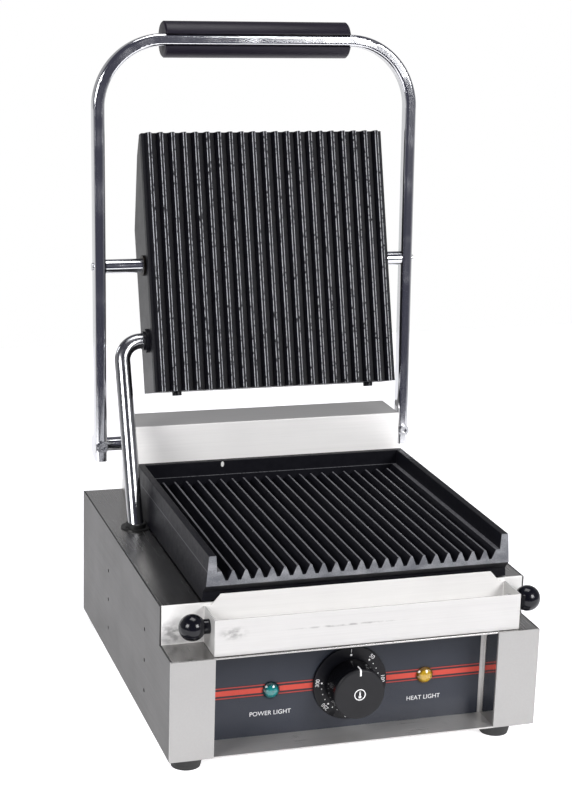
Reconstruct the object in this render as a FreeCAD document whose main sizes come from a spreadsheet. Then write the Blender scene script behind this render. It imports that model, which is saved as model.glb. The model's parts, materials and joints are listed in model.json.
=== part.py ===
import FreeCAD, Part
import math
import os
import re
import Sketcher
from FreeCAD import Placement, Rotation, Vector

# A single contact grill with its lid open. X runs across the front, Y from front to back, Z up.
# Three local frames keep the rules short:
#   base   origin on the middle of the base, level with the front posts and its underside
#   arms   origin on the hinge axis; the whole lid leans back about it
#   plate  origin on the cross rod; the upper plate tilts back about it, its ribs towards -Y

SIZES = [
    ("foot_rise", 9, "height of the rubber feet"),
    ("gauge", 1.2, "stainless sheet"),
    ("base_width", 290, "across the side panels"),
    ("base_depth", 315, "front of the posts to the rear panel"),
    ("deck_height", 108.8, "underside to deck"),
    ("shelf_height", 78.5, "underside to the tray shelf"),
    ("notch_depth", 34.5, "front of the posts to the deck's front edge"),
    ("post_width", 33.7, "front flange of a side panel"),
    ("fascia_back", 27, "how far the fascia stands behind the posts"),
    ("label_gap", 2.5, "printed sheet to the right post's fold"),
    ("label_gauge", 0.6, "printed sheet on the fascia"),
    ("cook_offset", 8.5, "plates, tray and hinge housing sit this far right of the base's middle"),
    ("plate_width", 237, "lower casting across the tops of its rims"),
    ("plate_front", 28.5, "front face of the lower casting"),
    ("plate_rear", 262, "rear face of the lower casting"),
    ("plate_draft", 3, "each side of the lower casting widens by this towards its foot"),
    ("rim_top", 147, "underside of the base to the rims' tops"),
    ("rim_wall", 5.5, "rim thickness at its top"),
    ("ground_foot", 124, "lower edge of the ground front face"),
    ("bevel_run", 7, "bevel under the ground front face"),
    ("skirt_gap", 1.2, "lower casting's skirt above the deck"),
    ("rib_top", 134.7, "tops of the lower ribs"),
    ("rib_rise", 7.4, "lower ribs above their valleys"),
    ("rib_pitch", 10, "ribs of both plates"),
    ("rib_count", 21, "ribs of each plate"),
    ("rib_land", 1.6, "width of a lower rib's top"),
    ("rib_stop", 5, "gap from the ribs' rear ends to the rear rim"),
    ("shelf_land", 4, "step at rib height along the side rims"),
    ("slab", 8, "lower casting between its valleys and its hollow underside"),
    ("housing_width", 239, "hinge housing"),
    ("housing_front", 272.3, "front face of the hinge housing"),
    ("housing_top", 176, "underside of the base to the housing's top"),
    ("hinge_y", 291.8, "hinge axis behind the posts"),
    ("hinge_z", 157, "hinge axis above the underside"),
    ("shaft_radius", 6, "hinge shaft and cross rod"),
    ("spigot_radius", 3.5, "ends of the cross rod, through the arms"),
    ("running_gap", 0.05, "radial clearance of a turning fit"),
    ("bush_wall", 2.5, "bushes"),
    ("bracket_gauge", 3, "hinge brackets"),
    ("lean", 3.3, "arms lean back, degrees"),
    ("arm_half", 136, "middle of each arm from the middle of the base"),
    ("bar_width", 10, "handle bar, seen from the front"),
    ("bar_depth", 12, "handle bar, seen from the side"),
    ("bar_round", 3, "rounded edges of the bar"),
    ("bar_lead", 4, "bar's middle in front of the hinge axis"),
    ("bar_tail", 12.8, "bar below the hinge axis"),
    ("bar_bend", 56, "bends of the bar"),
    ("lug_radius", 9.8, "lug round the hinge shaft"),
    ("lug_back", 0.8, "lug's middle behind the hinge shaft"),
    ("lug_skin", 1.5, "wall that closes the shaft's bore in the lug"),
    ("rod_reach", 152.7, "hinge axis to cross rod"),
    ("bar_reach", 338.7, "hinge axis to the top of the handle"),
    ("rod_end", 1, "cross rod past the outer face of each arm"),
    ("grip_radius", 15, "grip"),
    ("grip_length", 160, "grip"),
    ("grip_back", 7.5, "grip's axis behind the bar's middle"),
    ("tilt", 16.8, "upper plate leans back, degrees"),
    ("lid_width", 212, "upper plate"),
    ("lid_up", 108.8, "cross rod to the upper plate's free edge"),
    ("lid_down", 106.8, "cross rod to the upper plate's hinge edge"),
    ("face_lead", 20.5, "cross rod to the tops of the upper ribs"),
    ("lid_rib_rise", 5.5, "upper ribs"),
    ("lid_rib_land", 2.6, "width of an upper rib's top"),
    ("lid_web", 5.5, "upper casting behind its ribs"),
    ("rod_room", 0.4, "least gap between the rod's bushes and the upper casting"),
    ("cover_wall", 2.5, "upper cover"),
    ("cover_back", 26, "cross rod to the cover's back at its hinge edge"),
    ("cover_hump", 29, "cross rod to the cover's back at the hump"),
    ("hump_up", 33, "cross rod to the hump"),
    ("brow_up", 93, "cross rod to the foot of the free edge's brow"),
    ("brow_back", 4, "cross rod to the back of the brow"),
    ("lid_edge", 13, "upper plate and cover together at the free edge"),
    ("cover_bolt_reach", 85, "cover bolts from the middle of the plate"),
    ("gland_drop", 63, "cross rod down to the conduit's gland"),
    ("gland_back", 2, "conduit's gland behind the rod"),
    ("conduit_bend", 17, "bend of the conduit into the cover"),
    ("conduit_radius", 6.5, "conduit"),
    ("conduit_wall", 1, "conduit"),
    ("conduit_x", -122.5, "conduit where it leaves the deck"),
    ("conduit_y", 211.5, "conduit where it leaves the deck"),
    ("tray_width", 240.6, "drip tray"),
    ("tray_front", 3, "front wall of the tray behind the posts"),
    ("tray_rear", 34.1, "rear wall of the tray"),
    ("tray_lift", 0.3, "tray above its shelf"),
    ("tray_height", 28.3, "front and end walls of the tray"),
    ("tray_back", 36.7, "rear wall of the tray"),
    ("tray_clip", 7.5, "clipped corners of the rear wall"),
    ("ball_radius", 10, "tray knobs"),
    ("ball_reach", 12.8, "tray's end wall to a ball's middle"),
    ("ball_height", 97, "underside of the base to a ball's middle"),
    ("dial_x", 1.7, "thermostat knob from the middle of the base"),
    ("dial_z", 38, "thermostat knob above the underside"),
    ("ring_radius", 29.3, "dial ring"),
    ("ring_rise", 2.5, "dial ring in front of the label"),
    ("knob_radius", 20, "thermostat knob"),
    ("knob_front", 2, "face of the knob behind the posts"),
    ("knob_gap", 0.8, "knob in front of the dial ring"),
    ("lamp_x", 60.5, "lamps from the middle of the base"),
    ("lamp_z", 37.8, "lamps above the underside"),
    ("lamp_radius", 6.7, "lamp lenses"),
    ("lamp_rise", 4.7, "lenses in front of the label"),
    ("foot_radius", 13, "feet"),
    ("foot_inset_left", 16, "left feet from the side panel"),
    ("foot_inset_right", 27, "right feet from the side panel"),
    ("foot_inset_ends", 14, "feet from the front and the rear"),
    ("vent_radius", 1.6, "punched vents in the side panels"),
    ("vent_front", 82, "front column of vents behind the posts"),
    ("vent_rear", 212, "rear column of vents behind the posts"),
    ("vent_low", 22.5, "lowest vents above the underside"),
    ("vent_step", 25, "one vent to the next above it"),
    ("slot_width", 3, "slots in the rear panel"),
    ("slot_pitch", 12, "slots in the rear panel"),
    ("slot_low", 60, "slots in the rear panel, lower ends"),
    ("slot_high", 90, "slots in the rear panel, upper ends"),
    ("louvre_length", 44, "slots in the bottom plate"),
    ("louvre_width", 4, "slots in the bottom plate"),
    ("louvre_pitch", 20, "slots in the bottom plate"),
    ("louvre_front", 120, "front slots of the bottom plate"),
    ("louvre_x", 50, "rows of slots from the middle of the bottom plate"),
    ("lead_x", 95, "mains lead's gland from the middle of the base"),
    ("lead_z", 30, "mains lead's gland above the underside"),
    ("lead_radius", 4.5, "bore of the mains lead's gland"),
    ("gland_radius", 8, "thread of the mains lead's gland"),
    ("screw_radius", 2, "small screws"),
    ("bolt_radius", 2.5, "bolts of the arms, tray knobs and upper cover"),
    ("stud_radius", 3, "bolts of the lower casting"),
    ("stud_inset", 20, "bolts of the lower casting from its sides"),
    ("stud_inset_ends", 30, "bolts of the lower casting from its front and rear"),
    ("dial_screw_reach", 14, "thermostat's screws from the middle of the dial"),
    ("dial_bore", 9, "hole in the fascia for the thermostat's nose"),
    ("spindle_radius", 3, "thermostat shaft"),
    ("thermostat_radius", 20, "thermostat case"),
    ("thermostat_depth", 26, "thermostat case"),
    ("knob_round", 2, "rounded edge of the knob's face"),
    ("knob_cover", 6, "knob's face in front of its shaft"),
    ("element_leads", 20, "ends of the lower heating tube from its middle"),
    ("strip_gauge", 1.5, "strips that clamp the heating tubes"),
    ("wool", 10, "mineral fibre pads"),
    ("bush_lip", 1.5, "bushes outside the sheet that they sit in"),
    ("collar_wall", 4.5, "spring collars"),
    ("collar_length", 8, "spring collars"),
    ("spring_start", 4, "first coil from the bracket"),
    ("grip_screw_inset", 22, "grip screws from the grip's ends"),
    ("grip_screw_sink", 5, "heads of the grip screws below its surface"),
    ("grip_ease", 1.2, "chamfered ends of the grip"),
    ("element_radius", 3.5, "heating tubes"),
    ("wire_radius", 1.2, "lid springs"),
    ("coil_gap", 2.2, "lid springs' coils round the shaft"),
    ("coil_pitch", 3.6, "lid springs"),
    ("coil_turns", 6, "lid springs"),
]

doc = FreeCAD.newDocument("ContactGrill")
sheet = doc.addObject("Spreadsheet::Sheet", "Sizes")
for row, (alias, value, note) in enumerate(SIZES, start=1):
    sheet.set(f"A{row}", alias)
    sheet.set(f"B{row}", str(value))
    sheet.setAlias(f"B{row}", alias)
    sheet.set(f"C{row}", note)
doc.recompute()

ALIASES = {alias for alias, value, note in SIZES}
finished = []


# ---- helpers -----------------------------------------------------------------------------

def cells(rule):
    """A rule in the sheet's own words, as a FreeCAD expression."""
    return re.sub(r"[a-z_]\w*", lambda word: f"Sizes.{word[0]}" if word[0] in ALIASES else word[0], str(rule))


def size(alias):
    return float(sheet.get(alias))


def bind(thing, **rules):
    for name, rule in rules.items():
        thing.setExpression(name, cells(rule))
    return thing


def at(thing, x, y, z):
    for axis, rule in zip("xyz", (x, y, z)):
        thing.setExpression(f"Placement.Base.{axis}", cells(rule))
    return thing


def box(x, y, z):
    """A block between a low and a high rule along each axis."""
    block = doc.addObject("Part::Box", "Block")
    for side, (low, high) in zip(("Length", "Width", "Height"), (x, y, z)):
        block.setExpression(side, cells(f"({high}) - ({low})"))
    return at(block, x[0], y[0], z[0])


TURNS = {
    "x": Rotation(Vector(0, 1, 0), 90),
    "y": Rotation(Vector(1, 0, 0), -90),
    "z": Rotation(),
}


def bar(axis, radius, length, x, y, z):
    """A round bar that runs up one axis from its starting point."""
    piece = doc.addObject("Part::Cylinder", "Bar")
    piece.Placement = Placement(Vector(), TURNS[axis])
    bind(piece, Radius=radius, Height=length)
    return at(piece, x, y, z)


def cone(axis, radius_from, radius_to, length, x, y, z):
    piece = doc.addObject("Part::Cone", "Taper")
    piece.Placement = Placement(Vector(), TURNS[axis])
    bind(piece, Radius1=radius_from, Radius2=radius_to, Height=length)
    return at(piece, x, y, z)


def ball(axis, radius, x, y, z):
    """A sphere whose poles lie on an axis."""
    piece = doc.addObject("Part::Sphere", "Ball")
    piece.Placement = Placement(Vector(), TURNS[axis])
    return at(bind(piece, Radius=radius), x, y, z)


def fuse(*pieces):
    if len(pieces) == 1:
        return pieces[0]
    whole = doc.addObject("Part::MultiFuse", "Whole")
    whole.Shapes = list(pieces)
    whole.Refine = True
    return whole


def cut(base, *tools):
    rest = doc.addObject("Part::Cut", "Rest")
    rest.Base = base
    rest.Tool = fuse(*tools)
    rest.Refine = True
    return rest


def group(*pieces):
    """Identical pieces that stay separate solids in one sub-part."""
    several = doc.addObject("Part::Compound", "Several")
    several.Links = list(pieces)
    return several


def prism(role, outline, low, high, label="Prism"):
    """A straight-sided outline on one of a body's own planes, padded between two rules."""
    body = doc.addObject("PartDesign::Body", label)
    pad_outline(body, role, outline, low, high)
    return body


def draw(body, role, outline, start):
    """A closed outline of straight lines, each corner placed by two rules."""
    sketch = body.newObject("Sketcher::SketchObject", "Outline")
    plane = next(item for item in body.Origin.OriginFeatures if item.Role == role)
    sketch.AttachmentSupport = (plane, [""])
    sketch.MapMode = "FlatFace"
    sketch.setExpression("AttachmentOffset.Base.z", cells(start))
    corners = [Vector(value_of(across), value_of(up), 0) for across, up in outline]
    count = len(corners)
    for index in range(count):
        sketch.addGeometry(Part.LineSegment(corners[index], corners[(index + 1) % count]), False)
    for index in range(count):
        sketch.addConstraint(Sketcher.Constraint("Coincident", index, 2, (index + 1) % count, 1))
    for index, (across, up) in enumerate(outline):
        corner = corners[index]
        for kind, rule, value in (("DistanceX", across, corner.x), ("DistanceY", up, corner.y)):
            number = sketch.addConstraint(Sketcher.Constraint(kind, -1, 1, index, 1, value))
            sketch.setExpression(f"Constraints[{number}]", cells(rule))
    return sketch


def value_of(rule):
    """What a rule comes to with the sheet's present values."""
    return float(sheet.evalExpression(re.sub(r"Sizes\.", "", cells(rule))))


def pad_outline(body, role, outline, low, high):
    # the XZ plane faces -Y, so its pads start from minus the lower rule and run backwards
    backwards = role == "XZ_Plane"
    sketch = draw(body, role, outline, f"-({low})" if backwards else low)
    pad = body.newObject("PartDesign::Pad", "Pad")
    pad.Profile = sketch
    pad.Reversed = backwards
    pad.setExpression("Length", cells(f"({high}) - ({low})"))
    body.Tip = pad
    return pad


def repeat(body, feature, pitch, count):
    """The feature again and again along the body's X axis."""
    row = body.newObject("PartDesign::LinearPattern", "Row")
    row.Originals = [feature]
    row.Direction = (feature.Profile[0], ["H_Axis"])
    row.setExpression("Length", cells(f"{pitch} * ({count} - 1)"))
    row.setExpression("Occurrences", cells(count))
    body.Tip = row
    return row


# The frame's origin is under the middle of everything: from the left panel to the right tray knob,
# and from the front posts to the hump of the upper cover.
MID_X = "(base_width / 2 - cook_offset - tray_width / 2 - ball_reach - ball_radius) / 2"
ROD_Y = "(hinge_y + rod_reach * sin(lean * 1 deg) - bar_lead * cos(lean * 1 deg))"
ROD_Z = "(hinge_z + rod_reach * cos(lean * 1 deg) + bar_lead * sin(lean * 1 deg))"
FRONT_Y = f"(-({ROD_Y} + cover_hump * cos(tilt * 1 deg) + hump_up * sin(tilt * 1 deg)) / 2)"

FRAMES = {
    "base": (None, (MID_X, FRONT_Y, "foot_rise")),
    "arms": ("lean", (MID_X, f"{FRONT_Y} + hinge_y", "foot_rise + hinge_z")),
    "plate": ("tilt", (MID_X, f"{FRONT_Y} + {ROD_Y}", f"foot_rise + {ROD_Z}")),
}


LONE = ("Part::Box", "Part::Cylinder", "Part::Cone", "Part::Feature")


def finish(label, thing, frame="base"):
    """Name a sub-part and set it in its frame. A lone primitive keeps its own place inside a group."""
    if thing.TypeId in LONE:
        thing = group(thing)
    thing.Label = label
    angle, place = FRAMES[frame]
    if angle:
        thing.Placement = Placement(Vector(), Rotation(Vector(-1, 0, 0), 1))
        thing.setExpression("Placement.Rotation.Angle", cells(f"{angle} * 1 deg"))
    finished.append(at(thing, *place))
    return thing


# ---- base --------------------------------------------------------------------------------

HALF = "base_width / 2"
INNER = "(base_width / 2 - gauge)"
CLEAR = 20   # how far a cutting tool runs past what it cuts
GROMMET = "conduit_radius + 2"
SLEEVE = "shaft_radius + running_gap + bush_wall"


def make_side_panels():
    """A side panel is one folded sheet: the side, the front post and the post's inner return."""
    for name, side in (("left_side_panel", -1), ("right_side_panel", 1)):
        outline = [("0", "0"), ("base_depth", "0"), ("base_depth", "deck_height"),
                   ("notch_depth", "deck_height"), ("notch_depth", "shelf_height"), ("0", "shelf_height")]
        outer, inner = f"{HALF}", f"{HALF} - gauge"
        post = f"{HALF} - post_width"
        spans = {
            "sheet": (inner, outer),
            "flange": (post, outer),
            "fold": (post, f"{post} + gauge"),
        }
        low_high = {key: (low, high) if side > 0 else (f"-({high})", f"-({low})")
                    for key, (low, high) in spans.items()}
        sheet_part = prism("YZ_Plane", outline, *low_high["sheet"])
        flange = box(low_high["flange"], ("0", "gauge"), ("0", "shelf_height"))
        fold = box(low_high["fold"], ("0", "fascia_back + label_gauge"), ("gauge", "shelf_height - gauge"))
        vents = [bar("x", "vent_radius", "4 * gauge", f"{side} * ({HALF}) - 2 * gauge", y, z)
                 for y in ("vent_front", "vent_rear")
                 for z in ("vent_low", "vent_low + vent_step", "vent_low + 2 * vent_step")]
        finish(name, cut(fuse(sheet_part, flange, fold), *vents))


def make_top_deck():
    """The deck folds down at the front and forwards again as the tray's shelf."""
    deck = box((f"-{INNER}", INNER), ("notch_depth", "base_depth"), ("deck_height - gauge", "deck_height"))
    apron = box((f"-{INNER}", INNER), ("notch_depth", "notch_depth + gauge"),
                ("shelf_height - gauge", "deck_height"))
    shelf = box((f"-{INNER}", INNER), ("gauge", "notch_depth + gauge"),
                ("shelf_height - gauge", "shelf_height"))
    under = "deck_height - 2 * gauge"
    conduit_hole = bar("z", GROMMET, "4 * gauge", "conduit_x", "conduit_y", under)
    element_holes = [bar("z", "element_radius + 1.5", "4 * gauge", f"cook_offset + {side} * element_leads",
                         "plate_rear - stud_inset_ends", under) for side in (-1, 1)]
    studs = [bar("z", "stud_radius", "4 * gauge", x, y, under) for x, y in stud_places()]
    finish("top_deck", cut(fuse(deck, apron, shelf), conduit_hole, *element_holes, *studs))


def stud_places():
    across = "plate_width / 2 - stud_inset"
    return [(f"cook_offset + {side} * ({across})", y) for side in (-1, 1)
            for y in ("plate_front + stud_inset_ends", "plate_rear - stud_inset_ends")]


def make_bottom_plate():
    floor = box((f"-{INNER}", INNER), ("gauge", "base_depth - gauge"), ("0", "gauge"))
    lip = box((f"-({HALF} - post_width)", f"{HALF} - post_width"), ("0", "gauge * 2"), ("0", "gauge"))
    holes = [bar("z", "screw_radius", "4 * gauge", x, y, "-gauge") for x, y in foot_places()]
    rows = [f"louvre_front + {number} * louvre_pitch" for number in range(5)]
    slots = [box((f"{side} * louvre_x - louvre_length / 2", f"{side} * louvre_x + louvre_length / 2"),
                 (f"{row} - louvre_width / 2", f"{row} + louvre_width / 2"), ("-gauge", "3 * gauge"))
             for side in (-1, 1) for row in rows]
    finish("bottom_plate", cut(fuse(floor, lip), *holes, *slots))


def foot_places():
    return [(x, y) for x in (f"-{HALF} + foot_inset_left", f"{HALF} - foot_inset_right")
            for y in ("foot_inset_ends", "base_depth - foot_inset_ends")]


def make_rear_panel():
    panel = box((f"-{INNER}", INNER), ("base_depth - gauge", "base_depth"), ("gauge", "deck_height - gauge"))
    inside = "base_depth - 3 * gauge"
    slots = [box((f"{place} * slot_pitch - slot_width / 2", f"{place} * slot_pitch + slot_width / 2"),
                 (inside, "base_depth + gauge"), ("slot_low", "slot_high")) for place in range(-5, 6)]
    gland = bar("y", "gland_radius", "4 * gauge", "lead_x", inside, "lead_z")
    screws = [bar("y", "screw_radius", "4 * gauge", x, inside, z) for x, z in rear_screw_places()]
    finish("rear_panel", cut(panel, gland, *slots, *screws))


def rear_screw_places():
    return [(f"{side} * ({HALF} - 9)", z) for side in (-1, 1) for z in ("12", "deck_height - 14")]


def make_rear_fittings():
    screws = []
    for x, z in rear_screw_places():
        head = bar("y", "3.6", "2", x, "base_depth", z)
        screws.append(fuse(head, bar("y", "screw_radius", "8", x, "base_depth - 8", z)))
    finish("rear_panel_screws", group(*screws))
    flange = bar("y", "gland_radius + 3", "4", "lead_x", "base_depth", "lead_z")
    dome = cone("y", "gland_radius + 1", "gland_radius - 1", "8", "lead_x", "base_depth + 4", "lead_z")
    neck = bar("y", "gland_radius", "10", "lead_x", "base_depth - 10", "lead_z")
    bore = bar("y", "lead_radius", "60", "lead_x", "base_depth - 30", "lead_z")
    finish("cable_gland", cut(fuse(flange, dome, neck), bore))
    nut = prism("XZ_Plane", hexagon("lead_x", "lead_z", "(gland_radius + 3)"), "base_depth - gauge - 5",
                "base_depth - gauge")
    finish("gland_nut", cut(nut, bar("y", "gland_radius", "40", "lead_x", "base_depth - 30", "lead_z")))


def hexagon(across, up, radius):
    return [(f"{across} + {radius} * {math.cos(math.radians(turn)):.5f}",
             f"{up} + {radius} * {math.sin(math.radians(turn)):.5f}") for turn in range(0, 360, 60)]


def make_feet():
    feet = []
    screws = []
    for x, y in foot_places():
        body = cone("z", "foot_radius - 2", "foot_radius", "foot_rise", x, y, "-foot_rise")
        recess = bar("z", "5", "foot_rise / 2", x, y, "-foot_rise")
        feet.append(cut(body, recess, bar("z", "screw_radius", "foot_rise * 2", x, y, "-foot_rise")))
        head = bar("z", "4", "2", x, y, "-foot_rise / 2 - 2")
        shank = bar("z", "screw_radius", "foot_rise / 2 + 8", x, y, "-foot_rise / 2")
        screws.append(fuse(head, shank))
    finish("feet", group(*feet))
    finish("foot_screws", group(*screws))


# ---- fascia ------------------------------------------------------------------------------

POST = f"({HALF} - post_width)"
DIAL_SCREWS = ("dial_x - dial_screw_reach", "dial_x + dial_screw_reach")
LAMP_BODY = "lamp_radius - 1.2"
LENS_DOME = "(lamp_rise - 1.2)"
LENS_CURVE = f"((lamp_radius ^ 2 + {LENS_DOME} ^ 2) / (2 * {LENS_DOME}))"


def make_fascia():
    width = (f"-{POST}", POST)
    height = ("gauge", "shelf_height - gauge")
    lamps = [("-lamp_x", "lamp_z"), ("lamp_x + label_gap", "lamp_z")]

    def openings():
        shaft = bar("y", "dial_bore", CLEAR, "dial_x", "fascia_back - 5", "dial_z")
        seats = [bar("y", LAMP_BODY, CLEAR, x, "fascia_back - 5", z) for x, z in lamps]
        screws = [bar("y", "screw_radius", CLEAR, x, "fascia_back - 5", "dial_z") for x in DIAL_SCREWS]
        return [shaft, *seats, *screws]

    label = box((f"-{POST}", f"{POST} - label_gap"), ("fascia_back", "fascia_back + label_gauge"), height)
    finish("fascia_label", cut(label, *openings()))
    steel = box((f"-{POST} - 10", f"{POST} + 10"),
                ("fascia_back + label_gauge", "fascia_back + label_gauge + gauge"), height)
    finish("fascia_plate", cut(steel, *openings()))
    ring = bar("y", "ring_radius", "ring_rise", "dial_x", "fascia_back - ring_rise", "dial_z")
    seat = bar("y", "dial_bore", CLEAR, "dial_x", "fascia_back - 10", "dial_z")
    wells = [bar("y", "screw_radius", CLEAR, x, "fascia_back - 10", "dial_z") for x in DIAL_SCREWS]
    finish("dial_ring", cut(ring, seat, *wells))
    for name, (x, z) in zip(("power_lamp", "heat_lamp"), lamps):
        lens = doc.addObject("Part::Common", "Lens")
        lens.Base = bar("y", "lamp_radius", "lamp_rise", x, "fascia_back - lamp_rise", z)
        lens.Tool = ball("z", LENS_CURVE, x, f"fascia_back - lamp_rise + {LENS_CURVE}", z)
        finish(name, lens)
        finish(f"{name}_holder", bar("y", LAMP_BODY, "24", x, "fascia_back", z))


def make_thermostat():
    """The thermostat hangs behind the fascia on two screws; its shaft carries the knob."""
    back = "fascia_back + label_gauge + gauge"
    case = bar("y", "thermostat_radius", "thermostat_depth", "dial_x", back, "dial_z")
    shaft_room = bar("y", "spindle_radius + running_gap", CLEAR, "dial_x", f"{back} - 1", "dial_z")
    wells = [bar("y", "screw_radius", "10", x, back, "dial_z") for x in DIAL_SCREWS]
    finish("thermostat", cut(case, shaft_room, *wells))
    screws = []
    for x in DIAL_SCREWS:
        head = bar("y", "3.4", "1", x, "fascia_back - ring_rise - 1", "dial_z")
        shank = bar("y", "screw_radius", "ring_rise + label_gauge + gauge + 6", x, "fascia_back - ring_rise",
                    "dial_z")
        screws.append(fuse(head, shank))
    finish("thermostat_screws", group(*screws))
    length = f"{back} + 12 - knob_front - knob_cover"
    shaft = bar("y", "spindle_radius", length, "dial_x", "knob_front + knob_cover", "dial_z")
    finish("thermostat_shaft", shaft)


def make_knob():
    """A tall round knob with a rounded face, hollow at the back."""
    rear = "fascia_back - ring_rise - knob_gap - 1"
    barrel = bar("y", "knob_radius", f"{rear} - knob_front", "dial_x", "knob_front", "dial_z")
    rounded = doc.addObject("Part::Fillet", "RoundedFace")
    rounded.Base = barrel
    rounded.Edges = [(front_edge(barrel), size("knob_round"), size("knob_round"))]
    bore = bar("y", "spindle_radius", CLEAR, "dial_x", "knob_front + knob_cover", "dial_z")
    hollow = bar("y", "knob_radius - 3", "3", "dial_x", f"{rear} - 3", "dial_z")
    finish("thermostat_knob", cut(rounded, bore, hollow))


def front_edge(piece):
    """The number of the round edge of a Y bar that faces the front."""
    doc.recompute()
    nearest = min(enumerate(piece.Shape.Edges, start=1), key=lambda item: item[1].BoundBox.YMax)
    return nearest[0]


# ---- lower plate -------------------------------------------------------------------------

def make_lower_plate():
    """A ribbed casting: three rims, an open ground front, ribs that stop short of the rear rim."""
    body = doc.addObject("PartDesign::Body", "LowerCasting")
    half = "plate_width / 2"
    left, right = f"cook_offset - {half}", f"cook_offset + {half}"
    pad_outline(body, "XZ_Plane", [
        (f"{left} - plate_draft", "deck_height + skirt_gap"),
        (f"{right} + plate_draft", "deck_height + skirt_gap"), (right, "rim_top"), (left, "rim_top")],
        "plate_front", "plate_rear")
    valley = "rib_top - rib_rise"
    wall = f"({half} - rim_wall)"
    foot = f"({wall} - shelf_land)"
    slope = "rib_rise * 0.45"
    basin = prism("XZ_Plane", [
        (f"cook_offset - ({foot} - {slope})", valley), (f"cook_offset + ({foot} - {slope})", valley),
        (f"cook_offset + {foot}", "rib_top"), (f"cook_offset + {wall} - 0.8", "rib_top"),
        (f"cook_offset + {wall}", "rim_top + 1"), (f"cook_offset - {wall}", "rim_top + 1"),
        (f"cook_offset - {wall} + 0.8", "rib_top"), (f"cook_offset - {foot}", "rib_top")],
        "plate_front - 1", "plate_rear - rim_wall")
    hollow = box((f"{left} + 8", f"{right} - 8"), ("plate_front + 14", "plate_rear - 8"),
                 ("deck_height - 1", f"{valley} - slab"))
    bevel = prism("YZ_Plane", [
        ("plate_front - 1", "ground_foot"), ("plate_front", "ground_foot"),
        ("plate_front + bevel_run", "ground_foot - bevel_run"),
        ("plate_front + bevel_run", "deck_height - 1"), ("plate_front - 1", "deck_height - 1")],
        f"{left} - 20", f"{right} + 20")
    ribs = doc.addObject("PartDesign::Body", "Ribs")
    first = "cook_offset - rib_pitch * (rib_count - 1) / 2"
    rib = pad_outline(ribs, "XZ_Plane", [
        (f"{first} - rib_pitch * 0.42", f"{valley} - 1"), (f"{first} + rib_pitch * 0.42", f"{valley} - 1"),
        (f"{first} + rib_land / 2", "rib_top"), (f"{first} - rib_land / 2", "rib_top")],
        "plate_front", "plate_rear - rim_wall - rib_stop")
    repeat(ribs, rib, "rib_pitch", "rib_count")
    ramp = prism("YZ_Plane", [
        ("plate_rear - rim_wall - rib_stop + 1", valley),
        ("plate_rear - rim_wall - rib_stop + 1", "rib_top + 1"),
        ("plate_rear - rim_wall - rib_stop - rib_rise", "rib_top + 1")], left, right)
    shell = cut(body, basin, hollow, bevel)
    whole = fuse(shell, cut(ribs, ramp))
    posts = [bar("z", "2 * stud_radius", f"{valley} - slab - deck_height + 1", x, y, "deck_height")
             for x, y in stud_places()]
    taps = [bar("z", "stud_radius", "12", x, y, "deck_height - 1") for x, y in stud_places()]
    finish("lower_plate", cut(fuse(whole, *posts), *taps))
    bolts = []
    for x, y in stud_places():
        head = bar("z", "stud_radius + 2.5", "4", x, y, "deck_height - gauge - 4")
        bolts.append(fuse(head, bar("z", "stud_radius", "gauge + 11", x, y, "deck_height - gauge")))
    finish("plate_bolts", group(*bolts))


def tube(points, radii, radius, inner=0.0):
    """A tube along straight runs joined by tangent arcs, one bend radius for each inner point."""
    edges = []
    start = points[0]
    for before, corner, after, bend in zip(points, points[1:], points[2:], radii):
        into = (corner - before).normalize()
        out = (after - corner).normalize()
        half_turn = into.getAngle(out) / 2
        setback = bend * math.tan(half_turn)
        first, last = corner - into * setback, corner + out * setback
        middle = corner + (out - into).normalize() * (bend / math.cos(half_turn) - bend)
        if (first - start).Length > 1e-6:
            edges.append(Part.LineSegment(start, first).toShape())
        edges.append(Part.Arc(first, middle, last).toShape())
        start = last
    edges.append(Part.LineSegment(start, points[-1]).toShape())
    path = Part.Wire(edges)
    heading = (points[1] - points[0]).normalize()

    def swept(section_radius):
        ring = Part.Wire(Part.Circle(points[0], heading, section_radius).toShape())
        solid = path.makePipeShell([ring], True, False)
        expected = math.pi * section_radius ** 2 * path.Length
        if abs(solid.Volume / expected - 1) > 0.01:
            raise ValueError(f"a tube holds {solid.Volume:.0f} mm3 where its section makes {expected:.0f}")
        return solid

    return swept(radius).cut(swept(inner)) if inner else swept(radius)


def shaped(label, shape, frame="base"):
    """A sub-part whose shape comes from Part's own functions."""
    piece = doc.addObject("Part::Feature", "Shaped")
    piece.Shape = shape
    return finish(label, piece, frame)


def make_lower_element():
    """A U of heating tube pressed against the casting, its ends turned down through the deck."""
    top = size("rib_top") - size("rib_rise") - size("slab")
    level = top - size("element_radius")
    near = size("plate_front") + 35
    far = size("plate_rear") - size("stud_inset_ends")
    middle, leads = size("cook_offset"), size("element_leads")
    wide = size("plate_width") / 2 - 45
    low = size("deck_height") - 22
    points = [Vector(middle - leads, far, low), Vector(middle - leads, far, level),
              Vector(middle - wide, far, level), Vector(middle - wide, near, level),
              Vector(middle + wide, near, level), Vector(middle + wide, far, level),
              Vector(middle + leads, far, level), Vector(middle + leads, far, low)]
    bends = [6, 18, 18, 18, 18, 6]
    shaped("lower_element", tube(points, bends, size("element_radius")))
    under = level - size("element_radius")
    strip = box(("cook_offset - plate_width / 2 + 14", "cook_offset + plate_width / 2 - 14"),
                ("plate_front + 90", "plate_front + 110"), (f"{under} - strip_gauge", under))
    finish("lower_element_clamp", strip)
    pad = box(("cook_offset - plate_width * 0.4", "cook_offset + plate_width * 0.4"),
              ("plate_front + 31.5", "plate_rear - 45"),
              ("deck_height - gauge - wool", "deck_height - gauge"))
    room = [bar("z", "2 * stud_radius", "30", x, y, "deck_height - 25") for x, y in stud_places()]
    finish("lower_insulation", cut(pad, *room))


# ---- hinge -------------------------------------------------------------------------------

HINGE_HALF = "housing_width / 2"


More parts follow.
